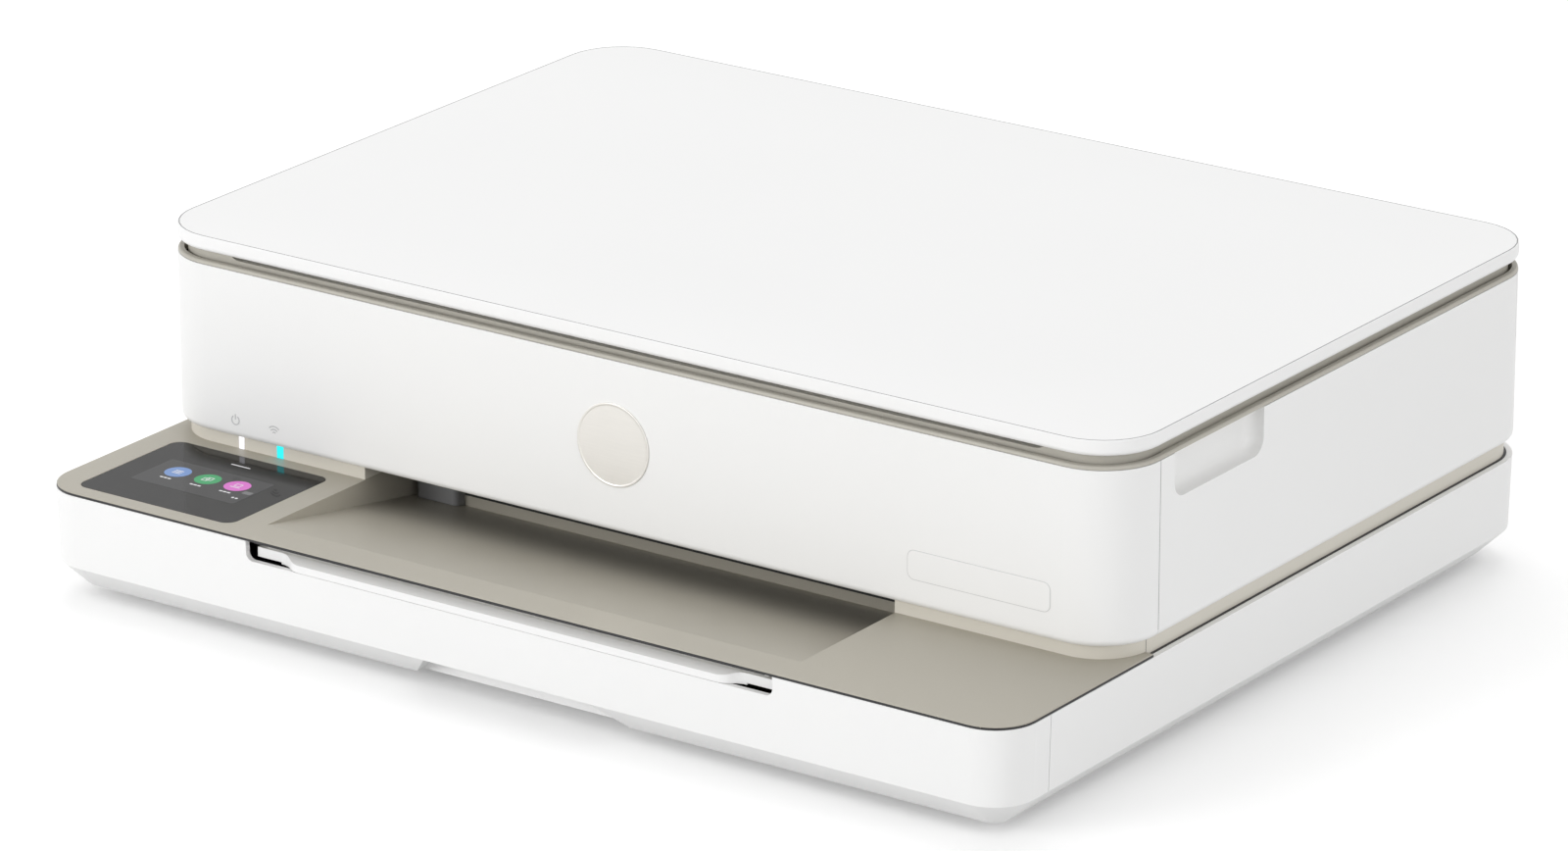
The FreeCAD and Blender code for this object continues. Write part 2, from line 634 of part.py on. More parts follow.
def pick_arm():
    """Forked arm with moulded trunnions, from its posts down to the pick-up roller."""
    trunnion = PICK_POST[1] + 1
    hub = fuse(rod(-14, 14, PICK_Y, PICK_Z, 5.0), rod(-trunnion, trunnion, PICK_Y, PICK_Z, PICK_SHAFT_R))
    y, z = PICK_ROLLER_Y, PICK_ROLLER_Z
    cheek = [(PICK_Y - 2.5, PICK_Z + 4.3), (PICK_Y + 2.5, PICK_Z - 4.3), (y + 1, z - 4), (y - 4, z - 1),
             (y - 3, z + 4)]
    cheeks = both_sides(across(cheek, 12, 14))
    axle = rod(-14, 14, y, z, 2.0)
    return fuse(hub, axle, *cheeks)


def pick_roller():
    """Rubber roller with grooves on its tread."""
    roller = rod(-11.5, 11.5, PICK_ROLLER_Y, PICK_ROLLER_Z, PICK_R)
    for x in (-6.0, 0.0, 6.0):
        ring = rod(x - 0.6, x + 0.6, PICK_ROLLER_Y, PICK_ROLLER_Z, PICK_R + 1)
        roller = roller.cut(ring.cut(rod(x - 1, x + 1, PICK_ROLLER_Y, PICK_ROLLER_Z, PICK_R - 0.8)))
    return roller.cut(rod(-20, 20, PICK_ROLLER_Y, PICK_ROLLER_Z, 2.0 + FIT))


def side_frame(x0, studs):
    """Steel side frame with shaft holes and lightening windows."""
    x1 = x0 + FRAME_SHEET
    profile = [(-72, CHASSIS_TOP - 3), (-72, 58), (-52, 66), (-6, 66), (14, 88), (52, 88), (66, 74), (92, 74),
               (92, CHASSIS_TOP), (-49, CHASSIS_TOP), (-49, CHASSIS_TOP - 3)]
    sheet = across(profile, x0, x1)
    feed_y, output_y = TRAIN_Y[0], TRAIN_Y[-1]
    holes = [rod(x0 - 1, x1 + 1, feed_y, TRAIN_Z, FEED_SHAFT_R + FIT)]
    holes.append(rod(x0 - 1, x1 + 1, output_y, TRAIN_Z, OUTPUT_SHAFT_R + FIT))
    holes.append(rod(x0 - 1, x1 + 1, ROD_Y, ROD_Z, ROD_R))
    holes.append(side_plate(-40, -14, 48, 60, x0 - 1, x1 + 1, 3.0))
    holes.append(side_plate(22, 42, 66, 82, x0 - 1, x1 + 1, 3.0))
    inward = -6 if x0 > 0 else 6
    foot = box(min(x0, x0 + inward), max(x1, x1 + inward), 76, 92, CHASSIS_TOP, CHASSIS_TOP + FRAME_SHEET)
    return fuse(sheet, foot, *studs).cut(holes)


def side_frame_left():
    """Left frame with studs for the idler gears and a hole for the motor shaft."""
    studs = [rod(GEAR_X[0] - 0.8, -FRAME_X, y, TRAIN_Z, STUD_R) for y in TRAIN_Y[1:4]]
    y, z = motor_centre()
    return side_frame(-FRAME_X - FRAME_SHEET, studs).cut(rod(-FRAME_X - 3, -FRAME_X + 3, y, z, 2.2))


def side_frame_right():
    """Right frame with the bracket and post of the idler pulley."""
    x = PULLEY_X[1]
    bracket = [box(x - 4, FRAME_X + 0.5, BELT_Y - 4, BELT_Y + 4, 58, 60), post(x, BELT_Y, 58, 73, 1.5)]
    return side_frame(FRAME_X, bracket)


def motor_centre():
    """Axis of the feed motor, one tooth direction above the feed gear."""
    reach = MODULE * (TRAIN_TEETH + MOTOR_TEETH) / 2
    turn = math.radians(48)
    return TRAIN_Y[0] + reach * math.cos(turn), TRAIN_Z + reach * math.sin(turn)


def feed_motor():
    """Round motor on the inside of the left frame, with its flange."""
    y, z = motor_centre()
    can = rod(-FRAME_X + 0.05, -164, y, z, 13)
    can = chamfer(can, 1.5, lambda b: b.XMin > -164.01)
    boss = rod(-164, -161, y, z, 4)
    return fuse(can, boss)


def motor_pinion():
    """Brass pinion of the feed motor on its shaft."""
    y, z = motor_centre()
    wheel = train_gear(y, z, MOTOR_TEETH, 0.0, 1.5)
    return fuse(wheel, rod(GEAR_X[0] - 1, -FRAME_X - 0.3, y, z, 1.55))


def feed_roller():
    """Steel shaft with three rubber sleeves."""
    y = TRAIN_Y[0]
    sleeves = [rod(x, x + 58, y, TRAIN_Z, 7) for x in (-103, -29, 45)]
    return fuse(rod(GEAR_X[0] - 0.5, FRAME_X + 3, y, TRAIN_Z, FEED_SHAFT_R), *sleeves)


def output_roller():
    """Thin shaft with rubber wheels under the star wheels."""
    y = TRAIN_Y[-1]
    wheels = [rod(x - 4, x + 4, y, TRAIN_Z, 6) for x in (-100, -60, -20, 20, 60, 100)]
    return fuse(rod(GEAR_X[0] - 0.5, FRAME_X + 3, y, TRAIN_Z, OUTPUT_SHAFT_R), *wheels)


def star_wheel_bar():
    """Bar between the frames with pairs of thin wheels over the output roller."""
    y = TRAIN_Y[-1]
    bar = across([(y - 5, 50), (y - 5, 53), (y - 3, 55), (y + 5, 55), (y + 5, 50)], -FRAME_X, FRAME_X)
    wheels = []
    for x in (-100, -60, -20, 20, 60, 100):
        wheels += [rod(x + side * 2 - 0.3, x + side * 2 + 0.3, y, 50.4, 4) for side in (-1, 1)]
    return fuse(bar, *wheels)


def platen():
    """Ribbed support under the print head."""
    slab = plate(-112, 112, -44, 49, CHASSIS_TOP, CHASSIS_TOP + 2.5, 2.0)
    trough = plate(-108, 108, -18, -4, CHASSIS_TOP + 1, CHASSIS_TOP + 4, 2.0)
    ribs = []
    for step in range(15):
        x = -106 + step * 15
        ribs.append(across([(-42, CHASSIS_TOP + 2), (-38, CHASSIS_TOP + 4), (44, CHASSIS_TOP + 4),
                            (47, CHASSIS_TOP + 2)], x, x + 1.6))
    return fuse(slab.cut(trough), *ribs)


def service_station():
    """Parking base with two rubber caps and a wiper under the parked carriage."""
    base = plate(118, 190, -40, 40, CHASSIS_TOP, 41.5, 3.0)
    well = plate(122, 186, -36, 8, 38, 45, 2.0)
    caps = []
    for x in (134.0, 170.0):
        cap = plate(x - 11, x + 11, -29, -3, 37.5, 42.8, 3.0)
        caps.append(cap.cut(plate(x - 9, x + 9, -27, -5, 40, 45, 2.0)))
    wiper = across([(14, 41), (14.6, 43.2), (15.4, 43.2), (16, 41)], 124, 184)
    return fuse(base.cut(well), wiper, *caps)


def carriage_rail():
    """Bent steel rail behind the carriage, its web pierced by windows."""
    y = RAIL_Y
    outside = [(y - 10, 88), (y + 1.2, 88), (y + 1.2, 56), (y - 8, 56)]
    inside = [(y - 8, 57.2), (y, 57.2), (y, 86.8), (y - 10, 86.8)]
    rail = across(outside + inside, -FRAME_X, FRAME_X)
    cuts = [wall_plate(x - 17, x + 17, 61, 82, y - 1, y + 3, 4.0) for x in range(-150, 151, 50)]
    cuts.append(post(PULLEY_X[0], BELT_Y, 50, 60, 3.5))
    return rail.cut(cuts)


def guide_rod():
    """Polished rod that carries the carriage."""
    return rod(-FRAME_X - 3.5, FRAME_X + 3.5, ROD_Y, ROD_Z, ROD_R)


def carriage():
    """Open carrier for two cartridges, with bearing, belt clamp and rail shoe at its back."""
    x = CARRIAGE_X
    shell = plate(x - 36, x + 36, -34, 16, 45, 76, 3.0)
    bays = [plate(x + a, x + b, -32, 13, 47, 90, 1.5) for a, b in ((-34, -1.2), (1.2, 34))]
    ports = [plate(x + c - 11, x + c + 11, -26, 2, 40, 50, 2.0) for c in (-17.6, 17.6)]
    slope = across([(-40, 58), (-30, 58), (-14, 78), (-40, 78)], x - 40, x + 40)
    bearing = across([(15, 46), (33, 46), (33, 58), (29, 61), (15, 61)], x - 32, x + 32)
    riser = across([(12, 60), (12, 84), (24, 84), (24, 60)], x - 20, x + 20)
    shoe = across([(20, 79), (20, 86.4), (43, 86.4), (43, 82)], x - 20, x + 20)
    front_run = BELT_Y - BELT_R - BELT_THICK
    jaws = [box(x - 7, x + 7, 20, front_run - 0.3, 60, 72),
            box(x - 7, x + 7, front_run + BELT_THICK + 0.3, front_run + BELT_THICK + 2.8, 60, 72),
            box(x - 7, x + 7, 20, front_run + BELT_THICK + 2.8, 60, BELT_Z[0] - 0.4)]
    body = fuse(shell, bearing, riser, shoe, *jaws)
    return body.cut(bays + ports + [slope, rod(x - 40, x + 40, ROD_Y, ROD_Z, ROD_R + FIT)])


def cartridge(offset):
    """Ink cartridge: stepped body with a snout below and a grip at the top."""
    x = CARRIAGE_X + offset
    body = plate(x - 15.8, x + 15.8, -31, 12, 47.2, 72, 2.0)
    snout = plate(x - 10.4, x + 10.4, -25, 1, 43.6, 48, 1.6)
    grip = across([(-22, 71), (-20, 80), (-2, 80), (2, 71)], x - 12, x + 12)
    hollow = across([(-19, 73), (-17.5, 82), (-4.5, 82), (-1, 73)], x - 10, x + 10)
    shoulder = across([(-32, 60), (-28, 60), (-16, 73), (-32, 73)], x - 20, x + 20)
    return fuse(body, snout, grip).cut([hollow, shoulder])


def belt_outline(r):
    """Plan of the belt loop at one of its faces."""
    x0, x1 = PULLEY_X
    return plate(x0 - r, x1 + r, BELT_Y - r, BELT_Y + r, BELT_Z[0], BELT_Z[1], r - 0.001)


def timing_belt():
    """Flat loop round both pulleys."""
    return belt_outline(BELT_R + BELT_THICK).cut(belt_outline(BELT_R))


def belt_pulley(x):
    """Flanged pulley with a grooved tread."""
    z0, z1 = BELT_Z
    tread = post(x, BELT_Y, z0 - 0.6, z1 + 0.6, BELT_R - 0.3)
    grooves = []
    for step in range(12):
        angle = 2 * math.pi * step / 12
        reach = BELT_R - 0.2
        grooves.append(post(x + reach * math.cos(angle), BELT_Y + reach * math.sin(angle), z0, z1, 0.6))
    flanges = [post(x, BELT_Y, z0 - 1.2, z0 - 0.3, 6.8), post(x, BELT_Y, z1 + 0.3, z1 + 1.2, 6.8)]
    return fuse(tread.cut(grooves), *flanges).cut(post(x, BELT_Y, 50, 90, 1.5 + FIT))


def carriage_motor():
    """Upright motor below the left pulley, with its shaft."""
    x = PULLEY_X[0]
    can = chamfer(post(x, BELT_Y, CHASSIS_TOP, 55.5, 10), 1.2, lambda b: b.ZMin > 55.4)
    return fuse(can, post(x, BELT_Y, 55, 58, 3.2), post(x, BELT_Y, 55, 73, 1.5))


def encoder_strip():
    """Clear position strip in front of the rail."""
    return box(-FRAME_X, FRAME_X, RAIL_Y - 1.4, RAIL_Y - 1.0, 73, 79)


def main_board():
    """Upright main board with its chips and connectors."""
    board = wall_plate(-190, -64, CHASSIS_TOP, 86, 150.5, 152.1, 2.0)
    chips = []
    for x0, x1, z0, z1, y0 in ((-150, -124, 44, 58, 148.3), (-112, -100, 62, 74, 149.0),
                               (-180, -160, 66, 80, 146.0), (-94, -70, 42, 48, 145.0)):
        chips.append(wall_plate(x0, x1, z0, z1, y0, 150.6, 0.5))
    return fuse(board, *chips)


def power_supply():
    """Closed power supply case with cooling slots, in front of the inlet."""
    case = chamfer(plate(110, 190, 96, 157, CHASSIS_TOP, 78, 3.0), 1.5, lambda b: b.ZMin > 77.9)
    slots = [plate(x, x + 3, 104, 146, 76, 80, 1.4) for x in range(120, 181, 8)]
    return case.cut(slots)


def scanner_frame():
    """Taupe top frame: rim over the panels, groove, raised band and bezel round the glass."""
    rim = upper_form(0.1, RIM_BOTTOM, RIM_TOP)
    rim = soften(rim, 0.9, lambda b: b.ZMin > RIM_TOP - 0.01).cut(upper_form(RIM_INNER, 100, 130))
    leg = upper_ring(RIM_LEG, RIM_INNER, PANEL_TOP - 4.1, RIM_TOP - 0.9)
    web = upper_ring(RIM_LEG, FRAME_INNER, PANEL_TOP - 4.1, PANEL_TOP - 2.7)
    band = upper_ring(FRAME_OUTER, FRAME_INNER, PANEL_TOP - 4.1, BAND_TOP)
    bezel = upper_form(FRAME_INNER - 0.1, 114.5, 118.3)
    scoop = wall_plate(-183.5, 183.5, SCOOP_TOP, 140, FACE, FACE + FRAME_INNER + 0.5, 6.0)
    rear_cut = box(-FAR, FAR, 170, FAR, 118.2, FAR)
    glass = scanner_glass_block(0.1, 115.7, 130)
    light = scanner_glass_block(-7, 100, 130)
    relief = keep_y(upper_ring(0.0, FRAME_OUTER, 100, RIM_BOTTOM), REAR_SEAM - 18, REAR_SEAM + 2)
    body = fuse(rim, leg, web, band, bezel).cut([scoop, rear_cut, glass, light, relief])
    grip = both_sides(box(HALF - TUB_INSET + 0.5, FAR, GRIP_FRONT - 4, GRIP_BACK + 4, 100, RIM_BOTTOM))
    shelf = box(HALF - FRAME_OUTER - 0.2, HALF - RIM_INNER + 0.2, GRIP_FRONT - 4, GRIP_BACK + 4, RIM_BOTTOM,
                RIM_BOTTOM + 0.6)
    x0, x1 = LUG_LID
    lug = fuse(rod(x0, x1, LID_AXIS_Y, LID_AXIS_Z, 2.0), box(x0, x1, 173.9, LID_AXIS_Y, 112, LID_AXIS_Z))
    body = fuse(body.cut(grip), *both_sides(shelf), *both_sides(lug))
    return body.cut(both_sides(rod(x0 - 1, x1 + 1, LID_AXIS_Y, LID_AXIS_Z, HINGE_PIN_R + FIT)))


def scanner_glass_block(grow, z0, z1):
    """Block of the scanning glass's outline, grown or shrunk."""
    return plate(-165 - grow, 165 + grow, -95 - grow, 150 + grow, z0, z1, 3.0)


def scanner_glass():
    """Glass that the document lies on."""
    return scanner_glass_block(0.0, 115.7, 118.1)


def scanner_tub():
    """Closed tub under the glass with stiffening ribs below."""
    outer = upper_form(TUB_INSET, 94, 114.5)
    outer = soften(outer, 3.0, lambda b: b.ZMax < 94.01)
    inner = upper_form(TUB_INSET + 2.2, 96, 120)
    ribs = [box(x, x + 1.8, -80, 150, 92.8, 95) for x in (-150, -75, 0, 75, 150)]
    end = HALF - TUB_INSET - 2.0
    rail = across([(28.4, 95), (28.4, 101), (29.4, 102), (30.6, 102), (31.6, 101), (31.6, 95)], -end, end)
    return fuse(outer.cut(inner), rail, *ribs)


def scan_bar():
    """Moving bar with the light and sensor, on a bearing block."""
    x0, x1 = -152.0, -128.0
    bar = across([(-92, 105), (-92, 111), (-90, 113), (145, 113), (147, 111), (147, 105)], x0, x1)
    slit = plate(x0 + 10, x0 + 13, -84, 139, 111, 115, 1.4)
    block = across([(20, 97.2), (18, 106), (42, 106), (40, 97.2)], x0 - 2, x1 + 2)
    groove = box(x0 - 4, x1 + 4, 28.1, 31.9, 96, 102.4)
    return fuse(bar, block).cut([slit, groove])


def hinge_cover(ring):
    """Upper rear cover that lifts with the scanner, with the barrel of the access hinge."""
    cover = ring.common(box(-FAR, FAR, REAR_SEAM + SEAM / 2, FAR, ACCESS_Z, FAR))
    pieces = [cover]
    pieces.append(rod(-REAR_CORNER + 3, REAR_CORNER - 3, ACCESS_Y, ACCESS_Z, BACK - ACCESS_Y))
    for x in (50.0, 150.0):
        pieces += both_sides(box(x, x + 2, BACK - TUB_INSET, BACK - PANEL_WALL + 0.2, 97, 111))
    x0, x1 = LUG_ACCESS
    gaps = both_sides(box(x0 - 0.4, x1 + 0.4, 170, FAR, 80, ACCESS_Z + 2.7))
    holes = both_sides(rod(x0 - 6, x1 + 6, ACCESS_Y, ACCESS_Z, HINGE_PIN_R))
    return fuse(*pieces).cut(gaps + holes)


def hinge_pins(lug, y, z):
    """Pair of steel pins through the lugs of a hinge."""
    x0, x1 = lug
    return Part.makeCompound(both_sides(rod(x0 - 6, x1 + 6, y, z, HINGE_PIN_R)))


def lid_shell():
    """Lid with a rounded lower edge, crisp upper edge and a gently crowned top."""
    edge = upper_form(0.0, LID_BOTTOM, LID_EDGE - 0.3)
    edge = soften(edge, 2.2, lambda b: b.ZMax < LID_BOTTOM + 0.01)
    crown = [(0.0, LID_EDGE - 0.35)]
    for share in (0.005, 0.1, 0.22, 0.38, 0.6, 1.0):
        crown.append((CROWN_REACH * share, LID_EDGE + (LID_TOP - LID_EDGE) * (1 - (1 - share) ** 2)))
    steps = []
    for (inset0, z0), (inset1, z1) in zip(crown[:-1], crown[1:]):
        steps.append(Part.makeLoft([crown_section(inset0, z0), crown_section(inset1, z1)], True, True))
    hollow = upper_form(2.8, LID_BOTTOM - 1, LID_HOLLOW)
    x0, x1 = LUG_LID
    knuckles = []
    for a, b in ((x0 - 8, x0 - 0.4), (x1 + 0.4, x1 + 8)):
        knuckles += both_sides(rod(a, b, LID_AXIS_Y, LID_AXIS_Z, 2.0))
        knuckles += both_sides(box(a, b, LID_AXIS_Y - 2, LID_AXIS_Y + 1.2, LID_AXIS_Z, 125.5))
    pockets = both_sides(box(x0 - 0.4, x1 + 0.4, 172.5, FAR, 118, LID_AXIS_Z + 2.5))
    holes = both_sides(rod(x0 - 6, x1 + 6, LID_AXIS_Y, LID_AXIS_Z, HINGE_PIN_R))
    return fuse(fuse(edge, *steps).cut(hollow), *knuckles).cut(pockets + holes)


def crown_section(inset, z):
    """Outline of the lid's crown, with one corner radius throughout."""
    r = R_UPPER
    return outline(-HALF + inset, HALF - inset, FACE + inset, BACK - inset, (r, r, r, r), z)


def lid_pad():
    """White foam backing that drops inside the frame and lies over the glass."""
    side = HALF - PAD_INSET
    front = R_UPPER - PAD_INSET
    back = PAD_BACK_R
    pad = plate(-side, side, FACE + PAD_INSET, PAD_BACK, PAD_BOTTOM, LID_HOLLOW, front, front, back, back)
    return soften(pad, 1.0, lambda b: b.ZMax < PAD_BOTTOM + 0.01)


def output_extender():
    """Sliding plate under the bay, with a stepped lip in the tray front's window."""
    start = FRONT + 6
    back = BAY_END - 4
    high = bay_floor(start) - EXTENDER_DROP
    low = bay_floor(back) - EXTENDER_DROP
    sheet = across([(start, high), (back, low), (back, low - EXTENDER_THICK), (start, high - EXTENDER_THICK)],
                   -EXTENDER_HALF, EXTENDER_HALF)
    lip = upright_face(lip_plan(), TRAY_CUT_BOTTOM + LIP_GAP, LIP_TOP)
    end = box(LIP_BEND[0], LIP_HALF + 1, FRONT - 1, FRONT + LIP_DEEP + 1, 0, TRAY_CUT_BOTTOM + 0.9)
    ramp = across([(FRONT - 1, LIP_TOP - 2), (FRONT + 5.5, LIP_TOP + 0.6), (FRONT - 1, LIP_TOP + 0.6)],
                  -LIP_BEND[0], LIP_BEND[0])
    window = plate(-70, 70, FRONT + 40, back - 20, 20, 60, 8.0)
    return fuse(sheet.cut(window), lip).cut([ramp] + both_sides(end))


def lip_plan():
    """Plan of the extender's lip: set back at its ends, brought forward by two tangent arcs."""
    outer, inner = LIP_BEND
    rear = FRONT + LIP_SET_BACK
    front = FRONT + 0.1
    run = (outer - inner) / 2
    rise = (rear - front) / 2
    radius = (run ** 2 + rise ** 2) / (2 * rise)
    half = math.asin(run / radius) / 2
    reach = radius * math.sin(half)
    sag = radius * (1 - math.cos(half))
    deep = FRONT + LIP_DEEP
    spots = [(LIP_HALF, deep), (LIP_HALF, rear), (outer, rear), (outer - reach, rear - sag),
             (outer - run, rear - rise), (inner + reach, front + sag), (inner, front)]
    right = [Vector(x, y, 0) for x, y in spots]
    left = [Vector(-v.x, v.y, 0) for v in right]
    edges = []
    for side in (right, left):
        edges += [Part.LineSegment(side[i], side[i + 1]).toShape() for i in range(2)]
        edges += [Part.Arc(side[i], side[i + 1], side[i + 2]).toShape() for i in (2, 4)]
    edges.append(Part.LineSegment(right[-1], left[-1]).toShape())
    edges.append(Part.LineSegment(right[0], left[0]).toShape())
    return Part.Face(Part.Wire(Part.__sortEdges__(edges)))


def upright_face(face, z0, z1):
    """Plan face carried up Z."""
    raised = face.copy()
    raised.translate(Vector(0, 0, z0))
    return raised.extrude(Vector(0, 0, z1 - z0))


def build():
    """Every piece by its node name."""
    ring = panel_ring()
    right = side_panel(ring)
    half_tooth = 180.0 / TRAIN_TEETH
    bores = (FEED_SHAFT_R, STUD_R + FIT, STUD_R + FIT, STUD_R + FIT, OUTPUT_SHAFT_R)
    train = [train_gear(y, TRAIN_Z, TRAIN_TEETH, half_tooth * (index % 2), bore)
             for index, (y, bore) in enumerate(zip(TRAIN_Y, bores))]
    return {
        "base_shell": base_shell(),
        "rubber_feet": rubber_feet(),
        "output_deck": output_deck(),
        "mid_frame": mid_frame(),
        "front_panel": front_panel(ring),
        "side_panel_left": right.mirror(Vector(), Vector(1, 0, 0)),
        "side_panel_right": right,
        "rear_wall": rear_wall(ring),
        "control_glass": control_glass(),
        "display_module": display_module(),
        "light_pipes": light_pipes(),
        "exit_guide_block": exit_guide_block(),
        "chassis_floor": chassis_floor(),
        "side_frame_left": side_frame_left(),
        "side_frame_right": side_frame_right(),
        "carriage_rail": carriage_rail(),
        "guide_rod": guide_rod(),
        "timing_belt": timing_belt(),
        "carriage_motor": carriage_motor(),
        "encoder_strip": encoder_strip(),
        "platen": platen(),
        "star_wheel_bar": star_wheel_bar(),
        "feed_motor": feed_motor(),
        "service_station": service_station(),
        "main_board": main_board(),
        "power_supply": power_supply(),
        "power_inlet": power_inlet(),
        "usb_socket": usb_socket(),
        "carriage": carriage(),
        "black_cartridge": cartridge(-17.6),
        "colour_cartridge": cartridge(17.6),
        "motor_pulley": belt_pulley(PULLEY_X[0]),
        "idler_pulley": belt_pulley(PULLEY_X[1]),
        "feed_roller": feed_roller(),
        "feed_gear": train[0],
        "idler_gear_rear": train[1],
        "idler_gear_middle": train[2],
        "idler_gear_front": train[3],
        "output_gear": train[4],
        "output_roller": output_roller(),
        "motor_pinion": motor_pinion(),
        "pick_arm": pick_arm(),
        "pick_roller": pick_roller(),
        "power_button": rear_button(POWER_BUTTON, 4.5),
        "wireless_button": rear_button(WIRELESS_BUTTON, 3.5),
        "scanner_frame": scanner_frame(),
        "scanner_tub": scanner_tub(),
        "scanner_glass": scanner_glass(),
        "scan_bar": scan_bar(),
        "hinge_cover": hinge_cover(ring),
        "access_hinge_pins": hinge_pins(LUG_ACCESS, ACCESS_Y, ACCESS_Z),
        "lid_shell": lid_shell(),
        "lid_pad": lid_pad(),
        "lid_hinge_pins": hinge_pins(LUG_LID, LID_AXIS_Y, LID_AXIS_Z),
        "tray_front": tray_front(),
        "tray_pan": tray_pan(),
        "width_guide_left": width_guide(False),
        "width_guide_right": width_guide_right(),
        "guide_pinion": guide_pinion(),
        "output_extender": output_extender(),
    }


def export(nodes):
    """One STEP file for each node."""
    os.makedirs("parts", exist_ok=True)
    for name, shape in nodes.items():
        shape.exportStep("parts/" + name + ".step")
        count = len(shape.Solids)
        print(name, "solids", count, "valid", shape.isValid(), "volume", round(shape.Volume / 1000, 2), "cm3")


export(build())
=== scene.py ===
# %% [markdown]
# # An inkjet printer, dressed around its CAD frame
#
# The printer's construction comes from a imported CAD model: shells, tray, scanner unit, print engine and
# all the joints. This file gives every one of those pieces its finish and adds what is too fine for the
# construction: marks, glyphs, bare plates, screws and the like. Nothing of the frame is moved or resized,
# so a new piece is simply put where the frame says it belongs, in metres.

import json
import math

import bmesh
import bpy
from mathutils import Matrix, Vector


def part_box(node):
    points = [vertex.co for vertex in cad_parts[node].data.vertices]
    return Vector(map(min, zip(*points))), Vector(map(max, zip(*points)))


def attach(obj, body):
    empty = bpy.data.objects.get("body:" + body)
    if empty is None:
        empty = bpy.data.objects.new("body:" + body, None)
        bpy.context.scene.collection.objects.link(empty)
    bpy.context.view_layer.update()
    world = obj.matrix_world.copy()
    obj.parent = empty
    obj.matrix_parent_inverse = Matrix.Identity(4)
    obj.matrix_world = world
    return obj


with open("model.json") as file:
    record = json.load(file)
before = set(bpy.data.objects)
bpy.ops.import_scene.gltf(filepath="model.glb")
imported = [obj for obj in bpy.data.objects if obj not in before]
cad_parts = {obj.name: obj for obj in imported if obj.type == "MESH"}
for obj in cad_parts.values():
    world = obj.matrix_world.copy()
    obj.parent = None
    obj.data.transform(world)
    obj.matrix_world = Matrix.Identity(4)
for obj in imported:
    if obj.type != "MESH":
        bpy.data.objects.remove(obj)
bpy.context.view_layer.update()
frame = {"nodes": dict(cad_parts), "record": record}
bpy.ops.object.select_all(action="DESELECT")

# %% [markdown]
# ## Working sizes
#
# People who build printers think in millimetres, Blender here thinks in metres, so one small helper does
# the change. The faces that carry new pieces could be written down as numbers. They are read from the
# frame instead, so that they follow the construction: the upright front panel, the top of the control
# glass and the underside of the base.

# %% Faces that carry new pieces
MM = 0.001


def span(node):
    """Lowest and highest corner of a CAD node, in millimetres."""
    low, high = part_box(node)
    return low / MM, high / MM


PANEL_FACE = span("front_panel")[0].y
GLASS_TOP = span("control_glass")[1].z
UNDERSIDE = span("base_shell")[0].z
faces = {"front face": PANEL_FACE, "glass top": GLASS_TOP, "underside": UNDERSIDE}
print({name: round(place, 2) for name, place in faces.items()})

# %% [markdown]
# ## What a finish is made of
#
# A finish could be a painted picture, but then every piece would need its own unwrapped surface. Here it
# is a chain of nodes on Object coordinates, which keeps its scale on every piece and needs no file. Each
# helper adds one link of that chain. Noise lies mostly in the middle of its range, so tones and gloss are
# spread over that window only.

# %% Nodes of a finish
NOISE_WINDOW = (0.3, 0.7)
PLAIN_FINISHES = len(bpy.data.materials)


def start_material(name):
    """New material with its shader and Object coordinates."""
    material = bpy.data.materials.new(name)
    material.use_nodes = True
    tree = material.node_tree
    shader = tree.nodes["Principled BSDF"]
    coords = tree.nodes.new("ShaderNodeTexCoord")
    return material, tree, shader, coords.outputs["Object"]


def add_noise(tree, place, scale, detail=2.0):
    """Noise texture at a scale in features per metre."""
    noise = tree.nodes.new("ShaderNodeTexNoise")
    noise.inputs["Scale"].default_value = scale
    noise.inputs["Detail"].default_value = detail
    tree.links.new(place, noise.inputs["Vector"])
    return noise.outputs["Fac"]


def add_ramp(tree, factor, first, last, window=NOISE_WINDOW):
    """Colours between a first and a last one, spread over a window of a factor."""
    ramp = tree.nodes.new("ShaderNodeValToRGB")
    for element, position, colour in zip(ramp.color_ramp.elements, window, (first, last)):
        element.position = position
        element.color = (*colour, 1.0)
    tree.links.new(factor, ramp.inputs["Fac"])
    return ramp.outputs["Color"]


def add_range(tree, factor, low, high, window=NOISE_WINDOW):
    """Values between a low and a high one, spread over a window of a factor."""
    stretch = tree.nodes.new("ShaderNodeMapRange")
    limits = {"From Min": window[0], "From Max": window[1], "To Min": low, "To Max": high}
    for socket, value in limits.items():
        stretch.inputs[socket].default_value = value
    tree.links.new(factor, stretch.inputs["Value"])
    return stretch.outputs["Result"]


def add_bump(tree, shader, height, depth, strength):
    """Surface relief of a depth in metres."""
    bump = tree.nodes.new("ShaderNodeBump")
    bump.inputs["Strength"].default_value = strength
    bump.inputs["Distance"].default_value = depth
    tree.links.new(height, bump.inputs["Height"])
    tree.links.new(bump.outputs["Normal"], shader.inputs["Normal"])


def paint(tree, shader, tone, gloss):
    """Lead a tone and a gloss into the shader."""
    tree.links.new(tone, shader.inputs["Base Color"])
    tree.links.new(gloss, shader.inputs["Roughness"])


def shade(colour, share):
    """A colour made lighter or darker."""
    return tuple(min(1.0, part * share) for part in colour)


def count_finishes():
    """Finishes made here, without the plain ones that came with the frame."""
    return len(bpy.data.materials) - PLAIN_FINISHES


print("plain finishes that came with the frame", PLAIN_FINISHES)

# %% [markdown]
# ## Moulded plastics
#
# Most of the printer is moulded plastic, which is never one flat colour: the tool's surface leaves a fine
# grain, the pigment varies a little and the gloss changes slowly across a panel. One helper builds those
# three effects, so each plastic of the printer states only its colour, gloss and grain.

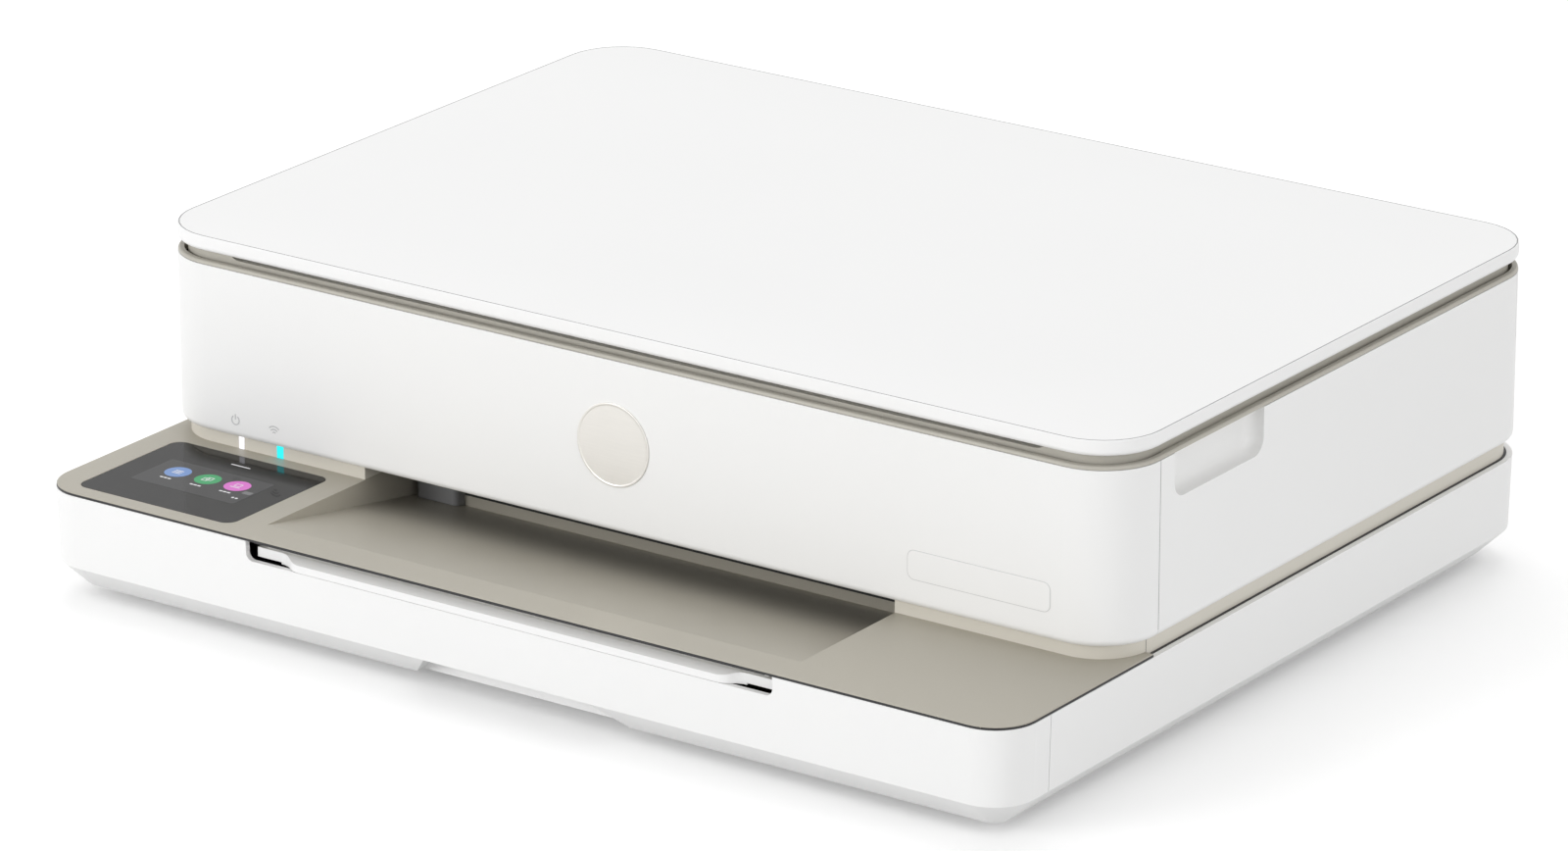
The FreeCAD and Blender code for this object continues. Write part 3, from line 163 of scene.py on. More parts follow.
# %% Moulded plastics
SLOW_SCALE = 9.0
GRAIN_DETAIL = 3.0
GRAIN_SHARE = 0.35
GLOSS_BELOW, GLOSS_ABOVE = 0.03, 0.05


def moulded(name, colour, gloss, grain=1400.0, depth=0.00002, vary=0.03, strength=0.25):
    """Moulded plastic: tooled grain, slow change of tone and of gloss."""
    material, tree, shader, place = start_material(name)
    fine = add_noise(tree, place, grain, GRAIN_DETAIL)
    slow = add_noise(tree, place, SLOW_SCALE)
    blend = tree.nodes.new("ShaderNodeMix")
    blend.inputs["Factor"].default_value = GRAIN_SHARE
    tree.links.new(slow, blend.inputs["A"])
    tree.links.new(fine, blend.inputs["B"])
    tone = add_ramp(tree, blend.outputs["Result"], shade(colour, 1 - vary), shade(colour, 1 + vary))
    paint(tree, shader, tone, add_range(tree, slow, gloss - GLOSS_BELOW, gloss + GLOSS_ABOVE))
    add_bump(tree, shader, fine, depth, strength)
    return material


# The lighter beige is painted light: it brightens upright strips that are lit from the front under the
# panel's shade.
LIT_STRIP_BEIGE = (0.66, 0.63, 0.56)
SATIN = {"grain": 1800.0, "strength": 0.35}
COARSE = 0.00004

white_shell = moulded("white_shell", (0.88, 0.88, 0.875), gloss=0.38, vary=0.006)
white_lid = moulded("white_lid", (0.90, 0.90, 0.897), gloss=0.36, vary=0.005)
beige_deck = moulded("beige_deck", (0.43, 0.404, 0.342), gloss=0.42, **SATIN)
painted_light_beige = moulded("painted_light_beige", LIT_STRIP_BEIGE, gloss=0.42, vary=0.02, **SATIN)
taupe_frame = moulded("taupe_frame", (0.47, 0.45, 0.395), gloss=0.45, vary=0.04, **SATIN)
dark_plastic = moulded("dark_plastic", (0.035, 0.036, 0.04), gloss=0.5, grain=1500.0, depth=COARSE, vary=0.15)
grey_plastic = moulded("grey_plastic", (0.27, 0.27, 0.275), gloss=0.48, vary=0.05)
black_plastic = moulded("black_plastic", (0.014, 0.014, 0.015), gloss=0.45, depth=COARSE, vary=0.2)
gear_plastic = moulded("gear_plastic", (0.72, 0.70, 0.63), gloss=0.35, grain=900.0)
backing_white = moulded("backing_white", (0.84, 0.84, 0.83), gloss=0.6, grain=2600.0, depth=0.00003,
                        vary=0.01)
print("moulded plastics", count_finishes())

# %% [markdown]
# ## Painted light on the strip of the deck
#
# The deck and the narrow strip under the front panel are one moulding, but the strip is as light as the
# band at the sides. That lighter tone is painted light: the upright face takes the front light while the
# panel above shades it, and the lighter beige stands in for that light. A separate piece would show a
# joint that isn't there, so the material itself changes: a step in height, just above the flat of the
# deck, swaps the two tones.

# %% Painted light tone on the deck strip
STRIP_FOOT = 44.8 * MM

# A Mix node lists the sockets of all its data types, and these are the ones for colours.
COLOUR_A, COLOUR_B, COLOUR_OUT = 6, 7, 2


def add_axis(tree, place, axis):
    """One coordinate of a place."""
    split = tree.nodes.new("ShaderNodeSeparateXYZ")
    tree.links.new(place, split.inputs["Vector"])
    return split.outputs[axis]


def add_step(tree, value, edge):
    """0 for values up to an edge and 1 above it."""
    step = tree.nodes.new("ShaderNodeMath")
    step.operation = "GREATER_THAN"
    step.inputs[1].default_value = edge
    tree.links.new(value, step.inputs[0])
    return step.outputs["Value"]


def tone_above(material, height, tone):
    """Swap the base colour for a second tone above a height."""
    tree = material.node_tree
    base = tree.nodes["Principled BSDF"].inputs["Base Color"]
    first = base.links[0].from_socket
    level = add_axis(tree, tree.nodes["Texture Coordinate"].outputs["Object"], "Z")
    mix = tree.nodes.new("ShaderNodeMix")
    mix.data_type = "RGBA"
    tree.links.new(add_step(tree, level, height), mix.inputs["Factor"])
    tree.links.new(first, mix.inputs[COLOUR_A])
    mix.inputs[COLOUR_B].default_value = (*tone, 1.0)
    tree.links.new(mix.outputs[COLOUR_OUT], base)


# Above this height the deck's strip gets the painted light beige.
tone_above(beige_deck, STRIP_FOOT, LIT_STRIP_BEIGE)
print("deck has a second tone above", round(STRIP_FOOT / MM, 1), "mm")

# %% [markdown]
# ## Metal and rubber
#
# Rolled sheet shows faint streaks in the rolling direction. They could be drawn as lines, but a noise
# stretched along X with a Mapping node never repeats. Brass and steel share that helper with another
# colour. Rubber is dark, rough and a little dusty, which a coarse noise in its tone gives.

# %% Metals and rubber
STREAK_STRETCH = (0.04, 1.0, 1.0)
DUST_WINDOW = (0.35, 0.75)
DUST_DARK, DUST_LIGHT = 0.75, 1.6


def streaked_metal(name, colour, gloss, metal=1.0, contrast=0.08):
    """Rolled or turned metal with fine streaks along X."""
    material, tree, shader, place = start_material(name)
    turn = tree.nodes.new("ShaderNodeMapping")
    turn.inputs["Scale"].default_value = STREAK_STRETCH
    tree.links.new(place, turn.inputs["Vector"])
    streak = add_noise(tree, turn.outputs["Vector"], scale=1600.0, detail=4.0)
    tone = add_ramp(tree, streak, shade(colour, 1 - contrast), shade(colour, 1 + contrast))
    paint(tree, shader, tone, add_range(tree, streak, gloss - contrast, gloss + contrast))
    shader.inputs["Metallic"].default_value = metal
    add_bump(tree, shader, streak, depth=0.00001, strength=0.2)
    return material


def soft_rubber(name, colour):
    """Matt rubber with a dusty tone."""
    material, tree, shader, place = start_material(name)
    dust = add_noise(tree, place, scale=420.0, detail=5.0)
    tone = add_ramp(tree, dust, shade(colour, DUST_DARK), shade(colour, DUST_LIGHT), DUST_WINDOW)
    paint(tree, shader, tone, add_range(tree, dust, low=0.72, high=0.9))
    add_bump(tree, shader, dust, depth=0.00004, strength=0.3)
    return material


bright_steel = streaked_metal("bright_steel", (0.62, 0.62, 0.61), gloss=0.3)
turned_brass = streaked_metal("turned_brass", (0.70, 0.52, 0.24), gloss=0.28)
champagne_metal = streaked_metal("champagne_metal", (0.78, 0.76, 0.72), gloss=0.3, metal=0.4, contrast=0.012)
black_rubber = soft_rubber("black_rubber", (0.028, 0.028, 0.028))
print("finishes so far", count_finishes())

# %% [markdown]
# ## Glass and film
#
# The control panel is a dark glass that mirrors softly what stands behind it. Clear glass over black
# would mirror the room too brightly, so a low index of refraction stands for its coating, which keeps the
# mirror image dim. The document glass and the encoder film let light through and show faint smears.

# %% Glass and film
COATED_INDEX = 1.22
CLEAR_INDEX = 1.45
SMEAR_TONE = 1.03
SMEAR_GLOSS = 0.04


def coated_glass(name):
    """Dark glass with a dim, soft mirror image."""
    material, tree, shader, place = start_material(name)
    cloud = add_noise(tree, place, scale=60.0)
    tone = add_ramp(tree, cloud, first=(0.022, 0.0215, 0.021), last=(0.026, 0.0255, 0.025))
    paint(tree, shader, tone, add_range(tree, cloud, low=0.03, high=0.045))
    shader.inputs["IOR"].default_value = COATED_INDEX
    return material


def clear_sheet(name, tint, gloss):
    """Clear glass or film, with faint smears in its gloss."""
    material, tree, shader, place = start_material(name)
    smear = add_noise(tree, place, scale=25.0, detail=4.0)
    tone = add_ramp(tree, smear, tint, shade(tint, SMEAR_TONE))
    paint(tree, shader, tone, add_range(tree, smear, gloss, gloss + SMEAR_GLOSS))
    shader.inputs["Transmission Weight"].default_value = 1.0
    shader.inputs["IOR"].default_value = CLEAR_INDEX
    return material


touch_glass = coated_glass("touch_glass")
clear_glass = clear_sheet("clear_glass", (0.88, 0.93, 0.91), gloss=0.02)
clear_film = clear_sheet("clear_film", (0.72, 0.72, 0.72), gloss=0.1)
print("finishes so far", count_finishes())

# %% [markdown]
# ## Circuit board and lights
#
# A circuit board is a lacquered green with lighter tracks, for which the lines of a brick pattern are
# enough so deep inside the printer. The two status lights are one CAD node, so a step along X paints one
# white and the other cyan in a single material, and each fades towards its foot.

# %% Board and lights
QUARTER_TURN = math.radians(90)
BOARD_PATTERN = {
    "Scale": 240.0, "Mortar Size": 0.03, "Mortar": (0.05, 0.22, 0.09, 1.0),
    "Color1": (0.012, 0.085, 0.035, 1.0), "Color2": (0.016, 0.10, 0.042, 1.0),
}
LIGHT_WHITE, LIGHT_CYAN = (0.86, 0.86, 0.92), (0.02, 0.74, 0.80)
LIGHT_GLOSS = 0.2
WHOLE = (0.0, 1.0)


def circuit_board(name):
    """Lacquered board with copper tracks under the lacquer."""
    material, tree, shader, place = start_material(name)
    tracks = tree.nodes.new("ShaderNodeTexBrick")
    for socket, value in BOARD_PATTERN.items():
        tracks.inputs[socket].default_value = value
    upright = tree.nodes.new("ShaderNodeMapping")
    upright.inputs["Rotation"].default_value = (QUARTER_TURN, 0, 0)
    tree.links.new(place, upright.inputs["Vector"])
    tree.links.new(upright.outputs["Vector"], tracks.inputs["Vector"])
    gloss = add_range(tree, add_noise(tree, place, scale=300.0), low=0.25, high=0.4)
    paint(tree, shader, tracks.outputs["Color"], gloss)
    return material


def status_lights(name, low, high):
    """White light in the left half of a box and cyan in its right half, brighter towards the top."""
    material, tree, shader, place = start_material(name)
    side = add_step(tree, add_axis(tree, place, "X"), (low.x + high.x) / 2)
    colour = add_ramp(tree, side, LIGHT_WHITE, LIGHT_CYAN, WHOLE)
    glow = add_range(tree, add_axis(tree, place, "Z"), low=0.45, high=0.95, window=(low.z, high.z))
    tree.links.new(colour, shader.inputs["Base Color"])
    tree.links.new(colour, shader.inputs["Emission Color"])
    tree.links.new(glow, shader.inputs["Emission Strength"])
    shader.inputs["Roughness"].default_value = LIGHT_GLOSS
    return material


light_low, light_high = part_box("light_pipes")
green_board = circuit_board("green_board")
light_pipe = status_lights("light_pipe", light_low, light_high)
print("finishes for the CAD nodes", count_finishes())

# %% [markdown]
# ## Finishes on the CAD nodes
#
# The record gives each node a material slot. Nodes could be dressed one by one, but each slot has one
# finish here, so a small table from slot to finish dresses the whole model. Only two nodes have a finish
# of their own: the lid a slightly cleaner white, and the band of the mid frame the lighter beige, which is
# painted light for the front light on its upright face.

# %% Dress the nodes
FINISH_OF_SLOT = {
    "white_shell": white_shell, "beige_deck": beige_deck, "taupe_frame": taupe_frame,
    "dark_plastic": dark_plastic, "grey_plastic": grey_plastic, "black_plastic": black_plastic,
    "gear_plastic": gear_plastic, "white_pad": backing_white, "steel": bright_steel, "brass": turned_brass,
    "rubber": black_rubber, "board": green_board, "light_pipe": light_pipe,
    "touch_glass": touch_glass, "clear_glass": clear_glass, "clear_film": clear_film,
}
# The mid frame's band wears the painted light beige.
FINISH_OF_NODE = {"lid_shell": white_lid, "mid_frame": painted_light_beige}


def dress(piece, finish):
    """Make a finish the only one on a piece."""
    piece.data.materials.clear()
    piece.data.materials.append(finish)


for part in frame["record"]["subparts"]:
    node = part["node"]
    dress(frame["nodes"][node], FINISH_OF_NODE.get(node, FINISH_OF_SLOT[part["material_slot"]]))

# %% [markdown]
# ## How a small piece is made
#
# Most small pieces are modelled flat on the ground with Z outwards, since that is the easiest way to
# think about a plate or a sign, and are then laid on to a face of the printer. In edit mode a test picks
# the faces or edges to work on. At the end a piece's place goes into its mesh, a bevel breaks the edges
# of a thicker one, and it gets its finish and the body that it rides on.

# %% Choosing and settling pieces
SMOOTH_ANGLE = math.radians(35)
BEVEL_STEPS = 2
QUAD_CORNERS = 4
FACE_TURN = {
    "up": (0, 0, 0), "down": (2 * QUARTER_TURN, 0, 0),
    "front": (QUARTER_TURN, 0, 0), "rear": (QUARTER_TURN, 0, 2 * QUARTER_TURN),
}


def point(x, y, z):
    """A place given in millimetres."""
    return Vector((x, y, z)) * MM


def lay(piece, face, place):
    """Turn a piece modelled flat, with Z outwards, on to a face of the printer."""
    piece.rotation_euler = FACE_TURN[face]
    piece.location = place


def choose(*pieces):
    """Select only these pieces, with the first one active."""
    bpy.ops.object.select_all(action="DESELECT")
    for piece in pieces:
        piece.select_set(True)
    bpy.context.view_layer.objects.active = pieces[0]


def settle(piece, name, body, finish, bevel=0.0):
    """Leave edit mode, bring the place into the mesh, break the edges, and give finish and body.

    Faces of more than four corners are the flat ones, so they stay flat while the rest is smoothed.
    """
    if bpy.context.mode != "OBJECT":
        bpy.ops.object.mode_set(mode="OBJECT")
    choose(piece)
    bpy.ops.object.transform_apply(location=True, rotation=True, scale=True)
    if bevel:
        rounding = piece.modifiers.new("edge", "BEVEL")
        rounding.width = bevel * MM
        rounding.segments = BEVEL_STEPS
        rounding.limit_method = "ANGLE"
        bpy.ops.object.modifier_apply(modifier="edge")
    bpy.ops.object.shade_smooth_by_angle(angle=SMOOTH_ANGLE)
    for face in piece.data.polygons:
        face.use_smooth = face.use_smooth and len(face.vertices) <= QUAD_CORNERS
    piece.name = name
    piece.data.name = name
    dress(piece, finish)
    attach(piece, body)
    piece.select_set(False)
    print(name, "on", body, "faces", len(piece.data.polygons))


print("a piece can be laid", *FACE_TURN)

# %% [markdown]
# ## Bare badge on the front
#
# A round metal badge sits on the front panel, left bare here. A circle in the panel's material would stay
# dull, while a real disc catches the light at its rim. It starts as a flat cylinder, and in edit mode its
# face is inset and sunk a little, which leaves a thin raised border. A bevel then breaks every edge.

# %% Badge
BADGE_X = -2.0
BADGE_Z = 83.8
BADGE_R = 16.0
BADGE_THICK = 0.5
BADGE_CORNERS = 96
BADGE_BORDER = 0.7
BADGE_STEP = 0.25
BADGE_SINK = 0.12
BADGE_BEVEL = 0.08
OUTWARD_NORMAL = 0.9


def pick(piece, kind, test):
    """Select, in edit mode, only the edges or faces that pass a test."""
    mesh = bmesh.from_edit_mesh(piece.data)
    for part in (*mesh.verts, *mesh.edges, *mesh.faces):
        part.select = False
    for part in getattr(mesh, kind):
        part.select = test(part)
    mesh.select_flush_mode()
    bmesh.update_edit_mesh(piece.data)


def edit(piece):
    """Go into edit mode on one piece."""
    choose(piece)
    bpy.ops.object.mode_set(mode="EDIT")
    bpy.ops.mesh.select_mode(type="FACE")


def top_face(face):
    """Whether a face is the outward one of a piece modelled flat."""
    return face.normal.z > OUTWARD_NORMAL


def inset_top(piece, *steps):
    """Inset the outward face in edit mode, once for each pair of a border and a rise in millimetres."""
    pick(piece, "faces", top_face)
    for border, rise in steps:
        bpy.ops.mesh.inset(thickness=border * MM, depth=rise * MM)


def disc(radius, thick, corners):
    """Flat disc on the XY plane with its back at Z = 0."""
    bpy.ops.mesh.primitive_cylinder_add(vertices=corners, radius=radius * MM, depth=thick * MM,
                                        location=(0, 0, thick * MM / 2))
    bpy.ops.object.transform_apply(location=True)
    return bpy.context.object


badge = disc(BADGE_R, BADGE_THICK, BADGE_CORNERS)
edit(badge)
inset_top(badge, (BADGE_BORDER, 0.0), (BADGE_STEP, -BADGE_SINK))
lay(badge, "front", point(BADGE_X, PANEL_FACE, BADGE_Z))
settle(badge, "badge_disc", "base", champagne_metal, bevel=BADGE_BEVEL)

# %% [markdown]
# ## Bare label plate
#
# At the right of the front panel a thin rounded plate is let into the white, here without any print. It
# is a block whose four short edges are bevelled into corners. Its outline could be a groove, but one as
# fine as this would be lost in the light. So a slightly larger grey plate lies under it, and shows as a
# hairline of painted shade all round, in place of the groove's shadow.

# %% Label plate
LABEL_X = (126.8, 187.5)
LABEL_Z = (60.4, 71.8)
LABEL_R = 3.0
LABEL_LINE = 0.3
LABEL_THICK = 0.12
LABEL_BEVEL = 0.03
CORNER_STEPS = 8
# A mid grey of painted shade, for the shadow in the groove round the plate.
painted_groove_shade = moulded("painted_groove_shade", (0.64, 0.64, 0.64), gloss=0.5)


def rounded_plate(width, height, thick, radius):
    """Flat plate with round corners, modelled on the XY plane with its back at Z = 0."""
    bpy.ops.mesh.primitive_cube_add(size=1.0, location=(0, 0, thick * MM / 2))
    piece = bpy.context.object
    piece.scale = (width * MM, height * MM, thick * MM)
    bpy.ops.object.transform_apply(location=True, scale=True)
    edit(piece)
    bpy.ops.mesh.select_mode(type="EDGE")
    pick(piece, "edges", lambda edge: abs(edge.verts[0].co.z - edge.verts[1].co.z) > thick * MM / 2)
    bpy.ops.mesh.bevel(offset=radius * MM, segments=CORNER_STEPS, affect="EDGES")
    bpy.ops.mesh.select_mode(type="FACE")
    return piece


def label_layer(name, inset, lift, finish):
    """One layer of the label, drawn in from the outline by a distance."""
    width, height = LABEL_X[1] - LABEL_X[0], LABEL_Z[1] - LABEL_Z[0]
    layer = rounded_plate(width - 2 * inset, height - 2 * inset, LABEL_THICK, LABEL_R - inset)
    lay(layer, "front", point(sum(LABEL_X) / 2, PANEL_FACE - lift, sum(LABEL_Z) / 2))
    settle(layer, name, "base", finish, bevel=LABEL_BEVEL)


label_layer("label_groove_shade", 0.0, 0.0, painted_groove_shade)
label_layer("label_plate", LABEL_LINE, LABEL_THICK / 2, white_shell)

# %% [markdown]
# ## Symbols over the status lights
#
# A power sign and three wireless arcs stand on the panel above the lights, engraved on the real printer.
# Nothing of the frame is changed here, so they aren't cut in: each stroke stands a tenth of a millimetre
# proud in a soft grey, painted shade that stands for the shadow in an engraved line. A curved stroke is a
# small upright face spun about the sign's centre.

# %% Strokes
RELIEF = 0.12
STROKE_ROUND = 0.2
ARC_STEP = 8
ARC_STEPS_LEAST = 6
MERGE_DISTANCE = 0.0001


def arc_bar(radius, width, start, sweep):
    """Curved stroke on the XY plane about the origin, angles in degrees."""
    bpy.ops.mesh.primitive_plane_add(size=MM, rotation=(QUARTER_TURN, 0, 0))
    piece = bpy.context.object
    bpy.ops.object.transform_apply(rotation=True)
    edit(piece)
    bpy.ops.transform.resize(value=(width, 1.0, RELIEF))
    bpy.ops.transform.translate(value=(radius * MM, 0, RELIEF * MM / 2))
    steps = max(ARC_STEPS_LEAST, int(sweep / ARC_STEP))
    bpy.ops.mesh.spin(steps=steps, angle=-math.radians(sweep), center=(0, 0, 0), axis=(0, 0, 1))
    bpy.ops.mesh.select_all(action="SELECT")
    bpy.ops.mesh.remove_doubles(threshold=MERGE_DISTANCE * MM)
    bpy.ops.mesh.normals_make_consistent(inside=False)
    bpy.ops.object.mode_set(mode="OBJECT")
    piece.rotation_euler = (0, 0, math.radians(start))
    bpy.ops.object.transform_apply(rotation=True)
    return piece


def straight_bar(x0, x1, y0, y1, thick=RELIEF, radius=STROKE_ROUND):
    """Straight stroke with rounded ends, between two corners on the XY plane."""
    piece = rounded_plate(x1 - x0, y1 - y0, thick, radius)
    bpy.ops.object.mode_set(mode="OBJECT")
    piece.location = point((x0 + x1) / 2, (y0 + y1) / 2, 0)
    bpy.ops.object.transform_apply(location=True)
    return piece


def join(pieces):
    """Several strokes made one piece."""
    choose(*pieces)
    bpy.ops.object.join()
    return pieces[0]


print("strokes stand", RELIEF, "mm proud")

# %% Engraved signs
STROKE = 0.45
RING_START, RING_SWEEP = 125, 290
RING_BAR = (0.15, 1.35)
WAVE_START, WAVE_SWEEP = 45, 90
WAVE_SHARES = (0.35, 0.8, 1.25)
POWER_SIGN_R = 1.75
POWER_SIGN_IN = 1.2
WIRELESS_SIGN_R = 2.6
WIRELESS_SIGN_IN = 1.5
WIRELESS_SIGN_DROP = 2.0
SIGN_Z = 57.2
# The grey is painted shade, for the shadow inside the engraved strokes.
painted_engraving_shade = moulded("painted_engraving_shade", (0.56, 0.56, 0.57), gloss=0.5)


def power_sign(radius, stroke):
    """Ring open at the top with a bar in the gap."""
    ring = arc_bar(radius, stroke, RING_START, RING_SWEEP)
    foot, head = (radius * share for share in RING_BAR)
    return join([ring, straight_bar(-stroke / 2, stroke / 2, foot, head)])


def wireless_sign(radius, stroke):
    """Three arcs, one above the other."""
    return join([arc_bar(radius * share, stroke, WAVE_START, WAVE_SWEEP) for share in WAVE_SHARES])


def put_sign(sign, name, body, face, place):
    """Lay an engraved sign, in its grey of painted shade, on a face and let it ride a body."""
    lay(sign, face, place)
    settle(sign, name, body, painted_engraving_shade)


lights_left, lights_right = (round(corner.x / MM, 1) for corner in (light_low, light_high))
put_sign(power_sign(POWER_SIGN_R, STROKE), "power_sign", "base", "front",
         point(lights_left + POWER_SIGN_IN, PANEL_FACE, SIGN_Z))
put_sign(wireless_sign(WIRELESS_SIGN_R, STROKE), "wireless_sign", "base", "front",
         point(lights_right - WIRELESS_SIGN_IN, PANEL_FACE, SIGN_Z - WIRELESS_SIGN_DROP))

# %% [markdown]
# ## What the display shows
#
# The display lies under the glass at the left. It shows three round buttons with small pictures, short
# white bars in the place of words, and a grip line at the back. One picture could show all of it, but
# thin pieces on the glass, a few hundredths of a millimetre high, stay sharp from near. A display glows,
# so their materials give off light of their own.

# %% Display colours
SCREEN_DOTS = 4000.0
SCREEN_MOTTLE = 0.9
SCREEN_DARK = (0.01, 0.01, 0.01, 1.0)
SCREEN_SOCKETS = {"Base Color": SCREEN_DARK, "Emission Strength": 1.0, "Roughness": 0.12, "IOR": 1.25}
SCREEN_COLOURS = {
    "grey": (0.03, 0.03, 0.031), "white": (0.72, 0.72, 0.74), "dim": (0.16, 0.16, 0.165),
    "blue": (0.15, 0.27, 0.56), "green": (0.03, 0.34, 0.12), "pink": (0.66, 0.15, 0.56),
}


def lit(name, colour):
    """Self-lit colour behind glass, with the faint mottle of a screen."""
    material, tree, shader, place = start_material(name)
    cells = tree.nodes.new("ShaderNodeTexVoronoi")
    cells.inputs["Scale"].default_value = SCREEN_DOTS
    tree.links.new(place, cells.inputs["Vector"])
    tone = add_ramp(tree, cells.outputs["Distance"], colour, shade(colour, SCREEN_MOTTLE), WHOLE)
    tree.links.new(tone, shader.inputs["Emission Color"])
    for socket, value in SCREEN_SOCKETS.items():
        shader.inputs[socket].default_value = value
    return material


screen_finish = {name: lit("screen_" + name, colour) for name, colour in SCREEN_COLOURS.items()}
print("display colours", *screen_finish)

# %% Screen area and grip line
SCREEN_X = (-192.6, -143.5)
SCREEN_Y = (-155.0, -130.0)
SCREEN_R = 1.2
SCREEN_BORDER = 0.4
GRIP_LINE = (-171.0, -162.0, -122.0, -121.3)
FILM = 0.03


def on_glass(piece, name, x, y, lift, colour):
    """Put a flat piece on the control glass, above what lies there already."""
    lay(piece, "up", point(x, y, GLASS_TOP + lift))
    settle(piece, name, "base", screen_finish[colour])


screen = rounded_plate(SCREEN_X[1] - SCREEN_X[0], SCREEN_Y[1] - SCREEN_Y[0], FILM, SCREEN_R)
inset_top(screen, (SCREEN_BORDER, 0.0))
on_glass(screen, "screen_area", sum(SCREEN_X) / 2, sum(SCREEN_Y) / 2, 0, "grey")
on_glass(straight_bar(*GRIP_LINE, FILM), "grip_line", 0, 0, 0, "white")

# %% [markdown]
# ## Buttons on the display
#
# A button is a thin disc with a fine step near its edge, a small picture on it and a caption of short
# bars below. The pictures differ, yet all are made of sheets of paper in outline and of full bars, so two
# tables of rectangles and one function draw all three.

# %% Round buttons
BUTTONS = (("blue", -181.8, -139.9), ("green", -167.7, -139.7), ("pink", -154.1, -139.1))
BUTTON_R = 5.2
BUTTON_CORNERS = 64
BUTTON_BORDER = 0.35
SHEET_STROKE = 0.35
SHEET_ROUND = 0.1
CAPTION = {"starts": (-2.6, -0.8, 1.0), "length": 1.5, "half": 0.45, "radius": 0.25}
CAPTION_DROP = 7.4

# Each rectangle is its left, right, lower and upper edge, from the middle of the button.
GLYPH_SHEETS = {
    "blue": (),
    "green": ((-2.0, 0.6, -1.9, 1.0), (-0.7, 1.9, -0.9, 2.0)),
    "pink": ((-1.5, 1.5, -0.6, 2.0),),
}
GLYPH_BARS = {
    "blue": ((-1.9, 1.9, -1.5, -1.0), (-1.9, 1.9, -0.25, 0.25), (-1.9, 1.9, 1.0, 1.5)),
    "green": (),
    "pink": ((-2.3, 2.3, -1.8, -1.3),),
}


def round_button():
    """Thin disc with a fine step near its edge."""
    piece = disc(BUTTON_R, FILM, BUTTON_CORNERS)
    edit(piece)
    inset_top(piece, (BUTTON_BORDER, 0.0))
    return piece


def sheet_strokes(x0, x1, y0, y1):
    """Outline of a sheet of paper in four strokes."""
    strokes = ((x0, x1, y0, y0 + SHEET_STROKE), (x0, x1, y1 - SHEET_STROKE, y1),
               (x0, x0 + SHEET_STROKE, y0, y1), (x1 - SHEET_STROKE, x1, y0, y1))
    return [straight_bar(*stroke, FILM, SHEET_ROUND) for stroke in strokes]


def glyph(colour):
    """Small picture of a button: sheets of paper in outline, then full bars."""
    strokes = [stroke for sheet in GLYPH_SHEETS[colour] for stroke in sheet_strokes(*sheet)]
    return join(strokes + [straight_bar(*bar, FILM) for bar in GLYPH_BARS[colour]])


def dashes(starts, length, half, radius):
    """Row of short bars in the place of words or small signs."""
    return join([straight_bar(start, start + length, -half, half, FILM, radius) for start in starts])


for colour, x, y in BUTTONS:
    on_glass(round_button(), colour + "_button", x, y, FILM, colour)
    on_glass(glyph(colour), colour + "_glyph", x, y, 2 * FILM, "white")
    on_glass(dashes(**CAPTION), colour + "_caption", x, y - CAPTION_DROP, FILM, "white")

# %% Signs at the edge of the screen
TOOLS = {"starts": (-1.4, 0.3), "length": 1.1, "half": 0.55, "radius": 0.3}
TOOLS_X, TOOLS_Y = -147.0, -149.6
TAB = (-2.0, 2.0, -1.4, 1.4)
TAB_ROUND = 0.4
TAB_X, TAB_Y = -146.2, -143.0

on_glass(dashes(**TOOLS), "screen_tools", TOOLS_X, TOOLS_Y, FILM, "white")
on_glass(straight_bar(*TAB, FILM, TAB_ROUND), "screen_tab", TAB_X, TAB_Y, FILM, "dim")

# %% [markdown]
# ## Painted shadow lines round the housing
#
# Thin black lines tell the shells apart in the photograph: they are the shadow in the gaps between them.
# The gaps are there in the CAD, but they are too fine for shadow alone to darken. So a black strip of
# painted shadow fills the gap under the deck's edge, and another one lies in the slot between the beige
# band and the white housing. Each starts as a rounded plate, of which only the upright faces of one half
# are kept, and a Solidify modifier makes them a strip.

# %% Painted shadow lines in the gaps
DECK_R = 16.7
DECK_LINE_Z = (43.36, 44.22)
DECK_LINE_OUT = 0.06
DECK_LINE_THICK = 0.04
BAND_R = 20.7
BAND_LINE_Z = (42.7, 43.5)
BAND_LINE_OUT = 0.95
BAND_LINE_THICK = 0.9
LEVEL_NORMAL = 0.5
FRONT, REAR = 1, -1


def thicken(piece, thick):
    """Leave edit mode and make a sheet of faces solid."""
    bpy.ops.object.mode_set(mode="OBJECT")
    sheet = piece.modifiers.new("sheet", "SOLIDIFY")
    sheet.thickness = thick * MM
    bpy.ops.object.modifier_apply(modifier="sheet")


def settle_shadow_line(piece, name):
    """Settle a dark line of painted shadow on the base."""
    settle(piece, name, "base", black_plastic)


def edge_strip(name, half, y0, y1, radius, heights, thick, keep):
    """Upright strip along the front or the rear half of a rounded outline."""
    piece = rounded_plate(2 * half, y1 - y0, heights[1] - heights[0], radius)
    cut = ((y1 - y0) / 2 - radius) * MM

    def left_out(face):
        return abs(face.normal.z) > LEVEL_NORMAL or face.calc_center_median().y * keep > cut

    pick(piece, "faces", left_out)
    bpy.ops.mesh.delete(type="FACE")
    thicken(piece, thick)
    lay(piece, "up", point(0, (y0 + y1) / 2, heights[0]))
    settle_shadow_line(piece, name)


deck_low, deck_high = span("output_deck")
band_low, band_high = span("mid_frame")
